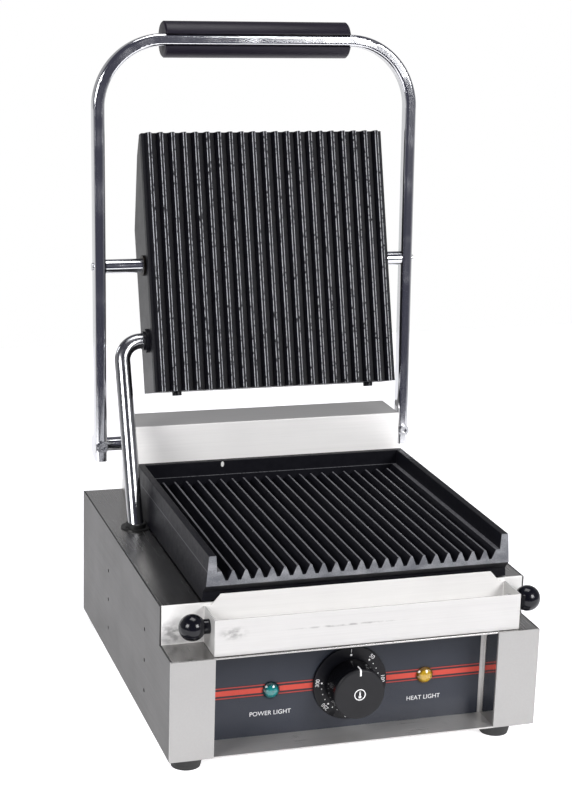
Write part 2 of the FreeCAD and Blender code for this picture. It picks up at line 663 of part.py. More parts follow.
def make_hinge():
    left, right = f"cook_offset - {HINGE_HALF}", f"cook_offset + {HINGE_HALF}"
    outer = box((left, right), ("housing_front", "base_depth"), ("deck_height", "housing_top"))
    inner = box((f"{left} + gauge", f"{right} - gauge"), ("housing_front + gauge", "base_depth - gauge"),
                ("deck_height - 1", "housing_top - gauge"))
    through = bar("x", SLEEVE, "housing_width + 40", f"{left} - 20", "hinge_y", "hinge_z")
    finish("hinge_housing", cut(outer, inner, through))
    for name, low, bush_from, foot in (
            ("left", f"{left} + gauge", f"{left} - bush_lip", (f"{left} + gauge", f"{left} + gauge + 16")),
            ("right", f"{right} - gauge - bracket_gauge", f"{right} - gauge - bracket_gauge - 2",
             (f"{right} - gauge - 16", f"{right} - gauge"))):
        web = box((low, f"{low} + bracket_gauge"), ("housing_front + gauge", "base_depth - gauge"),
                  ("deck_height", "hinge_z + 14"))
        shoe = box(foot, ("housing_front + gauge", "base_depth - gauge"),
                   ("deck_height", "deck_height + bracket_gauge"))
        hole = bar("x", SLEEVE, CLEAR, f"{low} - 5", "hinge_y", "hinge_z")
        finish(f"{name}_hinge_bracket", cut(fuse(web, shoe), hole))
        sleeve = bar("x", SLEEVE, "gauge + bracket_gauge + bush_lip + 2", bush_from, "hinge_y", "hinge_z")
        bore = bar("x", "shaft_radius + running_gap", "40", f"{bush_from} - 10", "hinge_y", "hinge_z")
        finish(f"{name}_hinge_bush", cut(sleeve, bore))
    left_spring = torsion_spring()
    shaped("left_lid_spring", left_spring)
    shaped("right_lid_spring", left_spring.mirror(Vector(size("cook_offset"), 0, 0), Vector(1, 0, 0)))
    # on the shaft: it turns with the arms, so it is drawn in their frame
    length = "2 * (arm_half + bar_width / 2 - lug_skin)"
    shaft = bar("x", "shaft_radius", length, "-(arm_half + bar_width / 2 - lug_skin)", "0", "0")
    taps = [bar("y", "bolt_radius", "40", f"{side} * arm_half", "-20", "0") for side in (-1, 1)]
    finish("hinge_shaft", cut(shaft, *taps), "arms")
    collars = []
    spring_room = "(gauge + bracket_gauge + 10 + coil_pitch * coil_turns)"
    for x in (f"{left} + {spring_room}", f"{right} - {spring_room} - collar_length"):
        ring = bar("x", "shaft_radius + collar_wall", "collar_length", x, "0", "0")
        collars.append(cut(ring, bar("x", "shaft_radius", "collar_length", x, "0", "0")))
    finish("spring_collars", group(*collars), "arms")


def torsion_spring():
    """A spring round the shaft: one leg stands on the deck, the other rises beside the collar."""
    coil = size("shaft_radius") + size("wire_radius") + size("coil_gap")
    wire = size("wire_radius")
    length = size("coil_pitch") * size("coil_turns")
    foot = size("hinge_z") - size("deck_height") - size("bracket_gauge")
    ring = Part.Wire(Part.Circle(Vector(coil, 0, 0), Vector(0, 1, 0), wire).toShape())
    coils = Part.Wire(Part.makeHelix(size("coil_pitch"), length, coil)).makePipeShell([ring], True, True)
    down = Part.makeCylinder(wire, foot, Vector(coil, 0, 0), Vector(0, -1, 0))
    up = Part.makeCylinder(wire, 12, Vector(coil, 0, length), Vector(0, 1, 0))
    spring = coils.fuse([down, up])
    # the helix runs along Z from its +X side; this turn lays it along X, its legs upright
    spring.rotate(Vector(), Vector(1, 1, 1), 120)
    inner_face = size("cook_offset") - size("housing_width") / 2 + size("gauge") + size("bracket_gauge")
    spring.translate(Vector(inner_face + size("spring_start"), size("hinge_y"), size("hinge_z")))
    return spring


# ---- lid arms ----------------------------------------------------------------------------

def rounded_section(body, across, up, radius, start):
    """A rectangle with rounded corners on a body's XY plane, between two rules each way."""
    sketch = body.newObject("Sketcher::SketchObject", "Section")
    plane = next(item for item in body.Origin.OriginFeatures if item.Role == "XY_Plane")
    sketch.AttachmentSupport = (plane, [""])
    sketch.MapMode = "FlatFace"
    sketch.setExpression("AttachmentOffset.Base.z", cells(start))
    left, right = value_of(across[0]), value_of(across[1])
    low, high = value_of(up[0]), value_of(up[1])
    curve = value_of(radius)
    corners = [(right - curve, low + curve), (right - curve, high - curve), (left + curve, high - curve),
               (left + curve, low + curve)]
    for index, (x, y) in enumerate(corners):
        before = corners[index - 1]
        away = Vector(math.sin(index * math.pi / 2), -math.cos(index * math.pi / 2)) * curve
        sketch.addGeometry(Part.LineSegment(Vector(*before) + away, Vector(x, y) + away), False)
        circle = Part.Circle(Vector(x, y), Vector(0, 0, 1), curve)
        sketch.addGeometry(Part.ArcOfCircle(circle, (index - 1) * math.pi / 2, index * math.pi / 2), False)
    for index in range(8):
        sketch.addConstraint(Sketcher.Constraint("Tangent", index, 2, (index + 1) % 8, 1))
    for line, kind in ((0, "Horizontal"), (2, "Vertical"), (4, "Horizontal"), (6, "Vertical")):
        sketch.addConstraint(Sketcher.Constraint(kind, line))
    for arc in (3, 5, 7):
        sketch.addConstraint(Sketcher.Constraint("Equal", 1, arc))
    for constraint, rule in (
            (Sketcher.Constraint("Radius", 1, curve), radius),
            (Sketcher.Constraint("DistanceY", -1, 1, 0, 1, low), up[0]),
            (Sketcher.Constraint("DistanceX", -1, 1, 2, 1, right), across[1]),
            (Sketcher.Constraint("DistanceY", -1, 1, 4, 1, high), up[1]),
            (Sketcher.Constraint("DistanceX", -1, 1, 6, 1, left), across[0])):
        number = sketch.addConstraint(constraint)
        sketch.setExpression(f"Constraints[{number}]", cells(rule))
    return sketch


def bent_path(body):
    """The bar's middle line: up one arm, across the top and down the other, with two equal bends."""
    half, top, bend, tail = size("arm_half"), size("bar_reach"), size("bar_bend"), size("bar_tail")
    path = body.newObject("Sketcher::SketchObject", "Path")
    plane = next(item for item in body.Origin.OriginFeatures if item.Role == "XZ_Plane")
    path.AttachmentSupport = (plane, [""])
    path.MapMode = "FlatFace"
    path.setExpression("AttachmentOffset.Base.z", cells("bar_lead"))
    turn = bend * math.sqrt(0.5)
    path.addGeometry(Part.LineSegment(Vector(-half, -tail), Vector(-half, top - bend)), False)
    path.addGeometry(Part.Arc(Vector(-half, top - bend), Vector(-half + bend - turn, top - bend + turn),
                              Vector(-half + bend, top)), False)
    path.addGeometry(Part.LineSegment(Vector(-half + bend, top), Vector(half - bend, top)), False)
    path.addGeometry(Part.Arc(Vector(half - bend, top), Vector(half - bend + turn, top - bend + turn),
                              Vector(half, top - bend)), False)
    path.addGeometry(Part.LineSegment(Vector(half, top - bend), Vector(half, -tail)), False)
    # a sketch keeps its arcs anticlockwise, so this path enters each bend at the arc's own end
    path.addConstraint(Sketcher.Constraint("Tangent", 0, 2, 1, 2))
    path.addConstraint(Sketcher.Constraint("Tangent", 1, 1, 2, 1))
    path.addConstraint(Sketcher.Constraint("Tangent", 2, 2, 3, 2))
    path.addConstraint(Sketcher.Constraint("Tangent", 3, 1, 4, 1))
    path.addConstraint(Sketcher.Constraint("Vertical", 0))
    path.addConstraint(Sketcher.Constraint("Vertical", 4))
    path.addConstraint(Sketcher.Constraint("Horizontal", 2))
    for constraint, rule in (
            (Sketcher.Constraint("Radius", 1, bend), "bar_bend"),
            (Sketcher.Constraint("Radius", 3, bend), "bar_bend"),
            (Sketcher.Constraint("DistanceX", 0, 1, -1, 1, half), "arm_half"),
            (Sketcher.Constraint("DistanceX", -1, 1, 4, 2, half), "arm_half"),
            (Sketcher.Constraint("DistanceY", 0, 1, -1, 1, tail), "bar_tail"),
            (Sketcher.Constraint("DistanceY", 4, 2, -1, 1, tail), "bar_tail"),
            (Sketcher.Constraint("DistanceY", -1, 1, 2, 1, top), "bar_reach")):
        number = path.addConstraint(constraint)
        path.setExpression(f"Constraints[{number}]", cells(rule))
    return path


def make_handle():
    """One bar bent to a U, with a lug for the hinge shaft at each lower end."""
    body = doc.addObject("PartDesign::Body", "BentBar")
    path = bent_path(body)
    section = rounded_section(
        body, ("-arm_half - bar_width / 2", "-arm_half + bar_width / 2"),
        ("-bar_lead - bar_depth / 2", "-bar_lead + bar_depth / 2"), "bar_round", "-bar_tail")
    pipe = body.newObject("PartDesign::AdditivePipe", "Bar")
    pipe.Profile = section
    pipe.Spine = (path, [f"Edge{number}" for number in range(1, 6)])
    body.Tip = pipe
    lugs = [bar("x", "lug_radius", "bar_width", f"{side} * arm_half - bar_width / 2", "lug_back", "-1")
            for side in (-1, 1)]
    bore = bar("x", "shaft_radius", "2 * (arm_half + bar_width / 2 - lug_skin)",
               "-(arm_half + bar_width / 2 - lug_skin)", "0", "0")
    rod = bar("x", "spigot_radius", "2 * (arm_half + bar_width)", "-(arm_half + bar_width)", "-bar_lead",
              "rod_reach")
    taps = [bar("y", "bolt_radius", "40", f"{side} * arm_half", "-20", "0") for side in (-1, 1)]
    screws = [bar("y", "screw_radius", "bar_depth / 2", x, "-bar_lead", "bar_reach")
              for x in grip_screw_places()]
    finish("handle_bar", cut(fuse(body, *lugs), bore, rod, *taps, *screws), "arms")


def make_arm_fittings():
    bolts = []
    for side in (-1, 1):
        x = f"{side} * arm_half"
        face = "-bar_lead - bar_depth / 2"
        washer = bar("y", "2 * bolt_radius", "1", x, f"{face} - 1", "0")
        head = bar("y", "bolt_radius + 1.5", "3", x, f"{face} - 4", "0")
        socket = prism("XZ_Plane", hexagon(x, "0", "2"), f"{face} - 4", f"{face} - 2")
        shank = bar("y", "bolt_radius", "bar_depth / 2 + bar_lead + 6", x, face, "0")
        bolts.append(cut(fuse(washer, head, shank), socket))
    finish("arm_bolts", group(*bolts), "arms")
    inner = "arm_half - bar_width / 2"
    outer = "arm_half + bar_width / 2 + rod_end"
    rod = bar("x", "shaft_radius", f"2 * ({inner})", f"-({inner})", "-bar_lead", "rod_reach")
    spigots = bar("x", "spigot_radius", f"2 * ({outer})", f"-({outer})", "-bar_lead", "rod_reach")
    finish("cross_rod", fuse(rod, spigots), "arms")


def make_grip():
    """A round grip behind the top of the bar; the bar lies in a groove along its front."""
    axis_y = "-bar_lead + grip_back"
    stick = bar("x", "grip_radius", "grip_length", "-grip_length / 2", axis_y, "bar_reach")
    eased = doc.addObject("Part::Chamfer", "EasedEnds")
    doc.recompute()
    eased.Base = stick
    flat = [number for number, edge in enumerate(stick.Shape.Edges, start=1) if edge.BoundBox.XLength < 0.01]
    eased.Edges = [(number, size("grip_ease"), size("grip_ease")) for number in flat]
    groove = box(("-grip_length", "grip_length"), ("-bar_lead - 60", "-bar_lead + bar_depth / 2"),
                 ("bar_reach - bar_width / 2", "bar_reach + bar_width / 2"))
    rear = "-bar_lead + grip_back + grip_radius"
    taps = []
    screws = []
    for x in grip_screw_places():
        taps.append(bar("y", "screw_radius", "60", x, "-bar_lead", "bar_reach"))
        taps.append(bar("y", "3.6", "20", x, f"{rear} - grip_screw_sink", "bar_reach"))
        head = bar("y", "3.2", "2.2", x, f"{rear} - grip_screw_sink", "bar_reach")
        shank = bar("y", "screw_radius", "grip_back + grip_radius - grip_screw_sink", x, "-bar_lead",
                    "bar_reach")
        screws.append(fuse(head, shank))
    finish("grip", cut(eased, groove, *taps), "arms")
    finish("grip_screws", group(*screws), "arms")


def grip_screw_places():
    return [f"{side} * (grip_length / 2 - grip_screw_inset)" for side in (-1, 1)]


# ---- upper plate -------------------------------------------------------------------------

LID = "lid_width / 2"
LID_LEFT, LID_RIGHT = f"(cook_offset - {LID})", f"(cook_offset + {LID})"
WEB_FRONT = "-face_lead + lid_rib_rise"
WEB_BACK = "-face_lead + lid_rib_rise + lid_web"
COVER_BOLTS = ("cook_offset - cover_bolt_reach", "cook_offset + cover_bolt_reach")


def make_upper_plate():
    web = prism("XY_Plane", [(LID_LEFT, WEB_FRONT), (LID_RIGHT, WEB_FRONT), (LID_RIGHT, WEB_BACK),
                             (LID_LEFT, WEB_BACK)], "-lid_down", "lid_up")
    ribs = doc.addObject("PartDesign::Body", "LidRibs")
    first = "cook_offset - rib_pitch * (rib_count - 1) / 2"
    rib = pad_outline(ribs, "XY_Plane", [
        (f"{first} - rib_pitch * 0.36", f"{WEB_FRONT} + 1"), (f"{first} - lid_rib_land / 2", "-face_lead"),
        (f"{first} + lid_rib_land / 2", "-face_lead"), (f"{first} + rib_pitch * 0.36", f"{WEB_FRONT} + 1")],
        "-lid_down", "lid_up")
    repeat(ribs, rib, "rib_pitch", "rib_count")
    taps = [bar("z", "bolt_radius", "40", x, f"{WEB_BACK} + 6", "-lid_down - 5") for x in COVER_BOLTS]
    pads = [box((f"{x} - 8", f"{x} + 8"), (f"{WEB_BACK} - 1", f"{WEB_BACK} + 12"),
                ("-lid_down + cover_wall", "-lid_down + cover_wall + 14")) for x in COVER_BOLTS]
    # a shallow channel keeps the web clear of the rod's bushes when the rod is made thicker
    channel = bar("x", f"{SLEEVE} + rod_room", "lid_width + 40", f"{LID_LEFT} - 20", "0", "0")
    finish("upper_plate", cut(fuse(web, ribs, *pads), channel, *taps), "plate")


def make_upper_cover():
    """A wedge-shaped shell: thin at the free edge, a hump above the rod, then level to the hinge edge."""
    outer = prism("YZ_Plane", [
        (WEB_BACK, "-lid_down"), ("cover_back", "-lid_down"), ("cover_hump", "hump_up"),
        ("brow_back", "brow_up"), ("lid_edge - face_lead", "lid_up"), (WEB_BACK, "lid_up")],
        LID_LEFT, LID_RIGHT)
    wall = "cover_wall"
    inner = prism("YZ_Plane", [
        (f"{WEB_BACK} - 1", f"-lid_down + {wall}"), (f"cover_back - {wall}", f"-lid_down + {wall}"),
        (f"cover_hump - {wall}", f"hump_up - {wall} / 2"),
        (f"brow_back - {wall} * 1.1", f"brow_up - {wall} / 2"),
        (f"{WEB_BACK} - 1", "brow_up + 5")], f"{LID_LEFT} + {wall}", f"{LID_RIGHT} - {wall}")
    bores = bar("x", SLEEVE, "lid_width + 40", f"{LID_LEFT} - 20", "0", "0")
    gland = bar("x", "conduit_radius + 1.5", CLEAR, f"{LID_LEFT} - 10", "gland_back", "-gland_drop")
    taps = [bar("z", "bolt_radius", CLEAR, x, f"{WEB_BACK} + 6", "-lid_down - 5") for x in COVER_BOLTS]
    finish("upper_cover", cut(outer, inner, bores, gland, *taps), "plate")
    starts = {"left_rod_bush": f"{LID_LEFT} - 2", "right_rod_bush": f"{LID_RIGHT} - cover_wall - 6"}
    for name, start in starts.items():
        sleeve = bar("x", SLEEVE, "cover_wall + 8", start, "0", "0")
        bore = bar("x", "shaft_radius + running_gap", "40", f"{start} - 10", "0", "0")
        finish(name, cut(sleeve, bore), "plate")
    bolts = []
    for x in COVER_BOLTS:
        head = bar("z", "bolt_radius + 1.5", "3.5", x, f"{WEB_BACK} + 6", "-lid_down - 3.5")
        bolts.append(fuse(head, bar("z", "bolt_radius", "14", x, f"{WEB_BACK} + 6", "-lid_down")))
    finish("cover_bolts", group(*bolts), "plate")


def make_upper_elements():
    """Two flat loops of heating tube, one each side of the rod, each under its own strip."""
    level = size("lid_rib_rise") + size("lid_web") + size("element_radius") - size("face_lead")
    middle = size("cook_offset")
    wide = size("lid_width") / 2 - 40
    back = f"{WEB_BACK} + 2 * element_radius"
    for name, side in (("front_element", 1), ("rear_element", -1)):
        near, far = 16 * side, 78 * side
        points = [Vector(middle - 14, level, near), Vector(middle - wide, level, near),
                  Vector(middle - wide, level, far), Vector(middle + wide, level, far),
                  Vector(middle + wide, level, near), Vector(middle + 14, level, near)]
        shaped(f"upper_{name}", tube(points, [18] * 4, size("element_radius")), "plate")
        strip = box((f"{LID_LEFT} + 12", f"{LID_RIGHT} - 12"), (back, f"{back} + strip_gauge"),
                    (f"{side * 47} - 8", f"{side * 47} + 8"))
        finish(f"upper_{name}_clamp", strip, "plate")
    pad = box((f"{LID_LEFT} + 12", f"{LID_RIGHT} - 12"), ("shaft_radius + 3", "shaft_radius + 3 + wool"),
              ("-lid_down + 18", "hump_up - 8"))
    finish("upper_insulation", pad, "plate")


# ---- conduit -----------------------------------------------------------------------------

def make_conduit():
    """The conduit leans back out of the deck and bends into the side of the upper cover."""
    lean, tilt = math.radians(size("lean")), math.radians(size("tilt"))
    drop, back = size("gland_drop"), size("gland_back")
    rod_y = size("hinge_y") + size("rod_reach") * math.sin(lean) - size("bar_lead") * math.cos(lean)
    rod_z = size("hinge_z") + size("rod_reach") * math.cos(lean) + size("bar_lead") * math.sin(lean)
    entry_y = rod_y - drop * math.sin(tilt) + back * math.cos(tilt)
    entry_z = rod_z - drop * math.cos(tilt) - back * math.sin(tilt)
    side = size("cook_offset") - size("lid_width") / 2
    outlet = Vector(size("conduit_x"), size("conduit_y"), size("deck_height"))
    shoulder = Vector(outlet.x + 2, entry_y, entry_z)
    heading = (shoulder - outlet).normalize()
    foot = outlet - heading * 16
    radius = size("conduit_radius")
    pipe = tube([foot, shoulder, Vector(side + 8, entry_y, entry_z)], [size("conduit_bend")], radius,
                radius - size("conduit_wall"))
    shaped("conduit", pipe)
    print(f"conduit: bend radius {size('conduit_bend'):.0f}")
    flange = Part.makeCylinder(radius + 5.5, size("skirt_gap") - 0.2, outlet)
    neck = Part.makeCone(radius + 2.3, radius + 1.6, 4, outlet)
    plug = Part.makeCylinder(radius + 2, size("gauge") + 3, outlet - Vector(0, 0, size("gauge") + 3))
    passage = Part.makeCylinder(radius, 80, outlet - heading * 40, heading)
    shaped("conduit_grommet", flange.fuse([neck, plug]).cut(passage))
    sleeve = bar("x", "conduit_radius + 1.5", "cover_wall + 8", f"{LID_LEFT} - 5", "gland_back",
                 "-gland_drop")
    nut = bar("x", "conduit_radius + 3.5", "3", f"{LID_LEFT} - 3", "gland_back", "-gland_drop")
    bore = bar("x", "conduit_radius + running_gap", "60", f"{LID_LEFT} - 20", "gland_back", "-gland_drop")
    finish("conduit_gland", cut(fuse(sleeve, nut), bore), "plate")


# ---- drip tray ---------------------------------------------------------------------------

TRAY = "tray_width / 2"
TRAY_LEFT, TRAY_RIGHT = f"(cook_offset - {TRAY})", f"(cook_offset + {TRAY})"
TRAY_FLOOR = "shelf_height + tray_lift"


def make_tray():
    """A folded tray whose rear wall rises above the others, with clipped corners."""
    top = f"{TRAY_FLOOR} + tray_height"
    outside = box((TRAY_LEFT, TRAY_RIGHT), ("tray_front", "tray_rear"), (TRAY_FLOOR, top))
    inside = box((f"{TRAY_LEFT} + gauge", f"{TRAY_RIGHT} - gauge"),
                 ("tray_front + gauge", "tray_rear - gauge"), (f"{TRAY_FLOOR} + gauge", f"{top} + 5"))
    high = f"{TRAY_FLOOR} + tray_back"
    wall = prism("XZ_Plane", [
        (TRAY_LEFT, f"{top} - 5"), (TRAY_RIGHT, f"{top} - 5"), (TRAY_RIGHT, top),
        (f"{TRAY_RIGHT} - 5", top), (f"{TRAY_RIGHT} - 5 - tray_clip", high),
        (f"{TRAY_LEFT} + 5 + tray_clip", high), (f"{TRAY_LEFT} + 5", top), (TRAY_LEFT, top)],
        "tray_rear - gauge", "tray_rear")
    middle = "(tray_front + tray_rear) / 2"
    holes = bar("x", "bolt_radius", "tray_width + 40", f"{TRAY_LEFT} - 20", middle, "ball_height")
    finish("drip_tray", cut(fuse(cut(outside, inside), wall), holes))
    for name, side, wall_x in (("left_tray_knob", -1, TRAY_LEFT), ("right_tray_knob", 1, TRAY_RIGHT)):
        globe = ball("x", "ball_radius", f"{wall_x} + {side} * ball_reach", middle, "ball_height")
        neck = bar("x", "bolt_radius + 3", "6", f"{wall_x} - {0 if side > 0 else 6}", middle, "ball_height")
        tap = bar("x", "bolt_radius", "12", f"{wall_x} - {0 if side > 0 else 12}", middle, "ball_height")
        finish(name, cut(fuse(globe, neck), tap))
    screws = []
    for side, wall_x in ((-1, TRAY_LEFT), (1, TRAY_RIGHT)):
        start = f"{wall_x} - {'gauge' if side > 0 else '12'}"
        shank = bar("x", "bolt_radius", "gauge + 12", start, middle, "ball_height")
        head_from = f"{wall_x} - gauge - 2.5" if side > 0 else f"{wall_x} + gauge"
        screws.append(fuse(shank, bar("x", "bolt_radius + 2", "2.5", head_from, middle, "ball_height")))
    finish("tray_knob_screws", group(*screws))


def make_terminal_block():
    block = box(("60", "110"), ("base_depth - 80", "base_depth - 60"), ("gauge", "gauge + 18"))
    wells = [bar("z", "2.6", "10", x, "base_depth - 70", "gauge + 12") for x in (68, 79, 90, 101)]
    finish("terminal_block", cut(block, *wells))


make_side_panels()
make_top_deck()
make_bottom_plate()
make_rear_panel()
make_rear_fittings()
make_feet()
make_fascia()
make_thermostat()
make_knob()
make_lower_plate()
make_lower_element()
make_hinge()
make_handle()
make_arm_fittings()
make_grip()
make_upper_plate()
make_upper_cover()
make_upper_elements()
make_conduit()
make_tray()
make_terminal_block()

# ---- checks and files --------------------------------------------------------------------

doc.recompute()
for item in doc.Objects:
    if {"Invalid", "Error"} & set(item.State):
        raise RuntimeError(f"{item.Label} ({item.TypeId}) did not compute: {item.State}")
os.makedirs("parts", exist_ok=True)
for piece in finished:
    if piece.Shape.isNull() or not piece.Shape.isValid():
        raise RuntimeError(f"{piece.Label} has no sound shape")
    piece.Shape.exportStep(f"parts/{piece.Label}.step")
    print(f"{piece.Label}: {len(piece.Shape.Solids)} solid(s), {piece.Shape.Volume / 1000:.1f} cm3")
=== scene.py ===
# %% [markdown]
# # A contact grill with its lid open
# The grill is a folded stainless steel base with a ribbed iron plate on it. A second ribbed plate hangs
# on a chrome bar behind. The frame brings every part at its real size and place, so this file only has
# to give each one its finish, round the edges that a press brake or a mould would round, and add the
# printed and moulded details that are too fine for the frame. Details are placed from the frame's own
# boxes, so that each stays on its part if the part's size changes.

# %% Load the frame
import json
import math

import bmesh
import bpy
from mathutils import Matrix, Vector


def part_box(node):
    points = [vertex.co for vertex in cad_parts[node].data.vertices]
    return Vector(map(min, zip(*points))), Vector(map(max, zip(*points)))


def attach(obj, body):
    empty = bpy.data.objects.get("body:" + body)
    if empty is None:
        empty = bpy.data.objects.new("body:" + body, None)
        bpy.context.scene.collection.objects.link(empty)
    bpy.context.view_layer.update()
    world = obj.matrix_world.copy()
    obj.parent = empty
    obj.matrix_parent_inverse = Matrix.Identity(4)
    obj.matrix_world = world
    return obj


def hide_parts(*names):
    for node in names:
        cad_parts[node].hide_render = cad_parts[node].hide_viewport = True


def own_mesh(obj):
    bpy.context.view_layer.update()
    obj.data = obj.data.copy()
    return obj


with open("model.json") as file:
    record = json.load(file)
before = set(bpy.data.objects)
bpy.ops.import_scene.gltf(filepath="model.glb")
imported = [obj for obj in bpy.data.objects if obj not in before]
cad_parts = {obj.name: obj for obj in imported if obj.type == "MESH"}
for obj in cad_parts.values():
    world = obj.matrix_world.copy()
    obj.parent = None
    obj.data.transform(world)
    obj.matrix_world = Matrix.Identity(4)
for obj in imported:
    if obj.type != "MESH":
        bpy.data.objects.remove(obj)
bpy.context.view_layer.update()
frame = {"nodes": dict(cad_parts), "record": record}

MM = 0.001
nodes = frame["nodes"]
slots = {part["node"]: part["material_slot"] for part in frame["record"]["subparts"]}
bodies = {node: body for body, members in frame["record"]["behaviour"]["bodies"].items() for node in members}
print(len(nodes), "parts from the frame")

# %% [markdown]
# ## Writing materials as sums
# A finish could be built node by node, but it is easier to read as arithmetic. `Wire` stands for one
# output socket, and adding or multiplying wires adds Math nodes. `Finish` holds one material with its
# Principled shader. Patterns read Object coordinates, which are metres on the real grill, so a grain of
# 1.4 mm is written as 1.4 * MM.

# %% Wires and finishes


class Wire:
    """One output socket of a node tree. Arithmetic on it adds Math nodes."""

    def __init__(self, graph, socket):
        self.graph = graph
        self.socket = socket

    def math(self, operation, first, second=0.0):
        return self.graph.node("ShaderNodeMath", {"operation": operation}, {0: first, 1: second})

    def __add__(self, other):
        return self.math("ADD", self, other)

    def __radd__(self, other):
        return self.math("ADD", other, self)

    def __sub__(self, other):
        return self.math("SUBTRACT", self, other)

    def __rsub__(self, other):
        return self.math("SUBTRACT", other, self)

    def __mul__(self, other):
        return self.math("MULTIPLY", self, other)

    def __rmul__(self, other):
        return self.math("MULTIPLY", other, self)

    def rise(self, low, high):
        """0 up to low, 1 from high, smooth between."""
        return self.graph.node("ShaderNodeMapRange", {"interpolation_type": "SMOOTHSTEP"},
                               {"Value": self, "From Min": low, "From Max": high})

    def between(self, low, high, soft):
        """1 from low to high, falling to 0 over the soft distance on each side."""
        return self.rise(low - soft, low) * (1 - self.rise(high, high + soft))


class Graph:
    """A node tree with one way to add a node."""

    def __init__(self, tree):
        self.tree = tree

    def node(self, kind, settings, sockets, output=0):
        """A node of one type: its settings first, then its sockets' values or links."""
        made = self.tree.nodes.new(kind)
        for name, value in settings.items():
            setattr(made, name, value)
        for key, value in sockets.items():
            if isinstance(value, Wire):
                self.tree.links.new(value.socket, made.inputs[key])
            else:
                made.inputs[key].default_value = value
        return Wire(self, made.outputs[output]) if made.outputs else None

    def axis(self, name, vector):
        return self.node("ShaderNodeSeparateXYZ", {}, {0: vector}, name)

    def mix(self, factor, first, second):
        """A colour between two colours."""
        return self.node("ShaderNodeMix", {"data_type": "RGBA"}, {0: factor, 6: first, 7: second}, 2)


class Finish(Graph):
    """A material in the making: a Principled shader and what feeds it."""

    def __init__(self, name, constants):
        self.material = bpy.data.materials.new(name)
        self.material.use_nodes = True
        super().__init__(self.material.node_tree)
        self.shader = self.tree.nodes["Principled BSDF"]
        for socket, value in constants.items():
            self.shader.inputs[socket].default_value = value
        self.place = self.node("ShaderNodeTexCoord", {}, {}, "Object")

    def along(self, name):
        return self.axis(name, self.place)

    def noise(self, size, stretch=(1, 1, 1), detail=3.0):
        """Noise whose grains are about one size across, longer along the axes with a stretch."""
        scale = tuple(1 / (size * part) for part in stretch)
        spread = self.node("ShaderNodeMapping", {"vector_type": "POINT"},
                           {"Vector": self.place, "Scale": scale})
        return self.node("ShaderNodeTexNoise", {},
                         {"Vector": spread, "Scale": 1.0, "Detail": detail}, "Fac")

    def near(self, point, reach):
        """1 at a point, falling to 0 at its reach, which may differ along each axis."""
        away = self.node("ShaderNodeVectorMath", {"operation": "SUBTRACT"}, {0: self.place, 1: point})
        scaled = self.node("ShaderNodeVectorMath", {"operation": "DIVIDE"}, {0: away, 1: reach})
        length = self.node("ShaderNodeVectorMath", {"operation": "LENGTH"}, {0: scaled}, "Value")
        return 1 - length.rise(0.15, 1.0)

    def bump(self, height, distance, strength=1.0, under=None):
        sockets = {"Height": height, "Distance": distance, "Strength": strength}
        if under:
            sockets["Normal"] = under
        return self.node("ShaderNodeBump", {}, sockets)

    def feed(self, **wires):
        for name, wire in wires.items():
            self.tree.links.new(wire.socket, self.shader.inputs[name.replace("_", " ")])
        return self.material


def grey(level, tint=(1, 1, 1)):
    return (level * tint[0], level * tint[1], level * tint[2], 1.0)


print("a wire can be added, multiplied, raised and cut to a band")

# %% [markdown]
# ## Brushed stainless steel
# A belt leaves fine scratches all one way, so a reflection smears across them. An anisotropic shader
# could do this, but it gives a smear without scratches. Long thin noise in the roughness and in a very
# low bump shows both. A second, wide noise clouds the sheet as handling does. Faces that point forwards
# are a satin and are painted lighter, as if lit from the front; a mask by depth picks them out, so one
# finish covers a folded panel.

# %% Brushed steel
GRAIN = {"x": (90, 1, 1), "y": (1, 90, 1), "z": (1, 1, 90)}
WARM = (1.0, 0.985, 0.965)
SATIN_ROUGH, FILM_ROUGH = 0.36, 0.10
FADE = 0.2 * MM


def brushed(name, grain, level, rough, metallic=1.0, front=None, mirror=None, marks_and_shadows=()):
    """Stainless sheet brushed along one axis.

    front is the span of depths where the sheet faces forwards and is a satin painted lighter as if lit, the
    level of that painted light and how metallic it stays. mirror, behind a front, is a span across where a
    film kept the sheet bright.
    marks_and_shadows are dark patches, each a point and a reach: finger marks, and the painted shadow of a
    ball.
    """
    finish = Finish(name, {"Metallic": metallic})
    fine = finish.noise(0.35 * MM, GRAIN[grain], 2.0)
    coarse = finish.noise(1.6 * MM, GRAIN[grain], 3.0)
    cloud = finish.noise(38 * MM, (1, 1, 1), 4.0)
    line = fine * 0.5 + coarse * 0.5
    shade_of = line * 0.7 + cloud * 0.3
    tone = finish.mix(shade_of, grey(level * 0.80, WARM), grey(level * 1.16, WARM))
    roughness = (line - 0.5) * 0.16 + (cloud - 0.5) * 0.12 + rough
    if front:
        low, high, lit_level, kept = front
        facing = finish.along("Y").between(low, high, FADE)
        # Painted light: forward faces get a lighter tone, as if lit from the front.
        satin = finish.mix(shade_of, grey(lit_level * 0.84, WARM), grey(lit_level * 1.10, WARM))
        tone = finish.mix(facing, tone, satin)
        roughness = roughness - facing * (rough - SATIN_ROUGH)
        finish.feed(Metallic=metallic - facing * (metallic - kept))
    if mirror:
        bright = finish.along("X").between(*mirror, FADE) * (1 - facing)
        tone = finish.mix(bright, tone, grey(0.72, WARM))
        roughness = roughness - bright * (rough - FILM_ROUGH)
    for point, reach in marks_and_shadows:
        mark = finish.near(point, reach) * finish.noise(4 * MM, (1.5, 1, 1), 4.0).rise(0.36, 0.62)
        tone = finish.mix(mark * 0.62, tone, grey(0.16, WARM))
    normal = finish.bump(line, 0.02 * MM, 0.35)
    return finish.feed(Base_Color=tone, Roughness=roughness, Normal=normal)


FRONT_REACH = 1.8 * MM
NOTCH_DEPTH = 34.5 * MM
SMUDGE = Vector((14, 3, 7)) * MM
STREAK = Vector((60, 2, 1.2)) * MM
BALL_SHADOW_REACH = Vector((16, 20, 12)) * MM

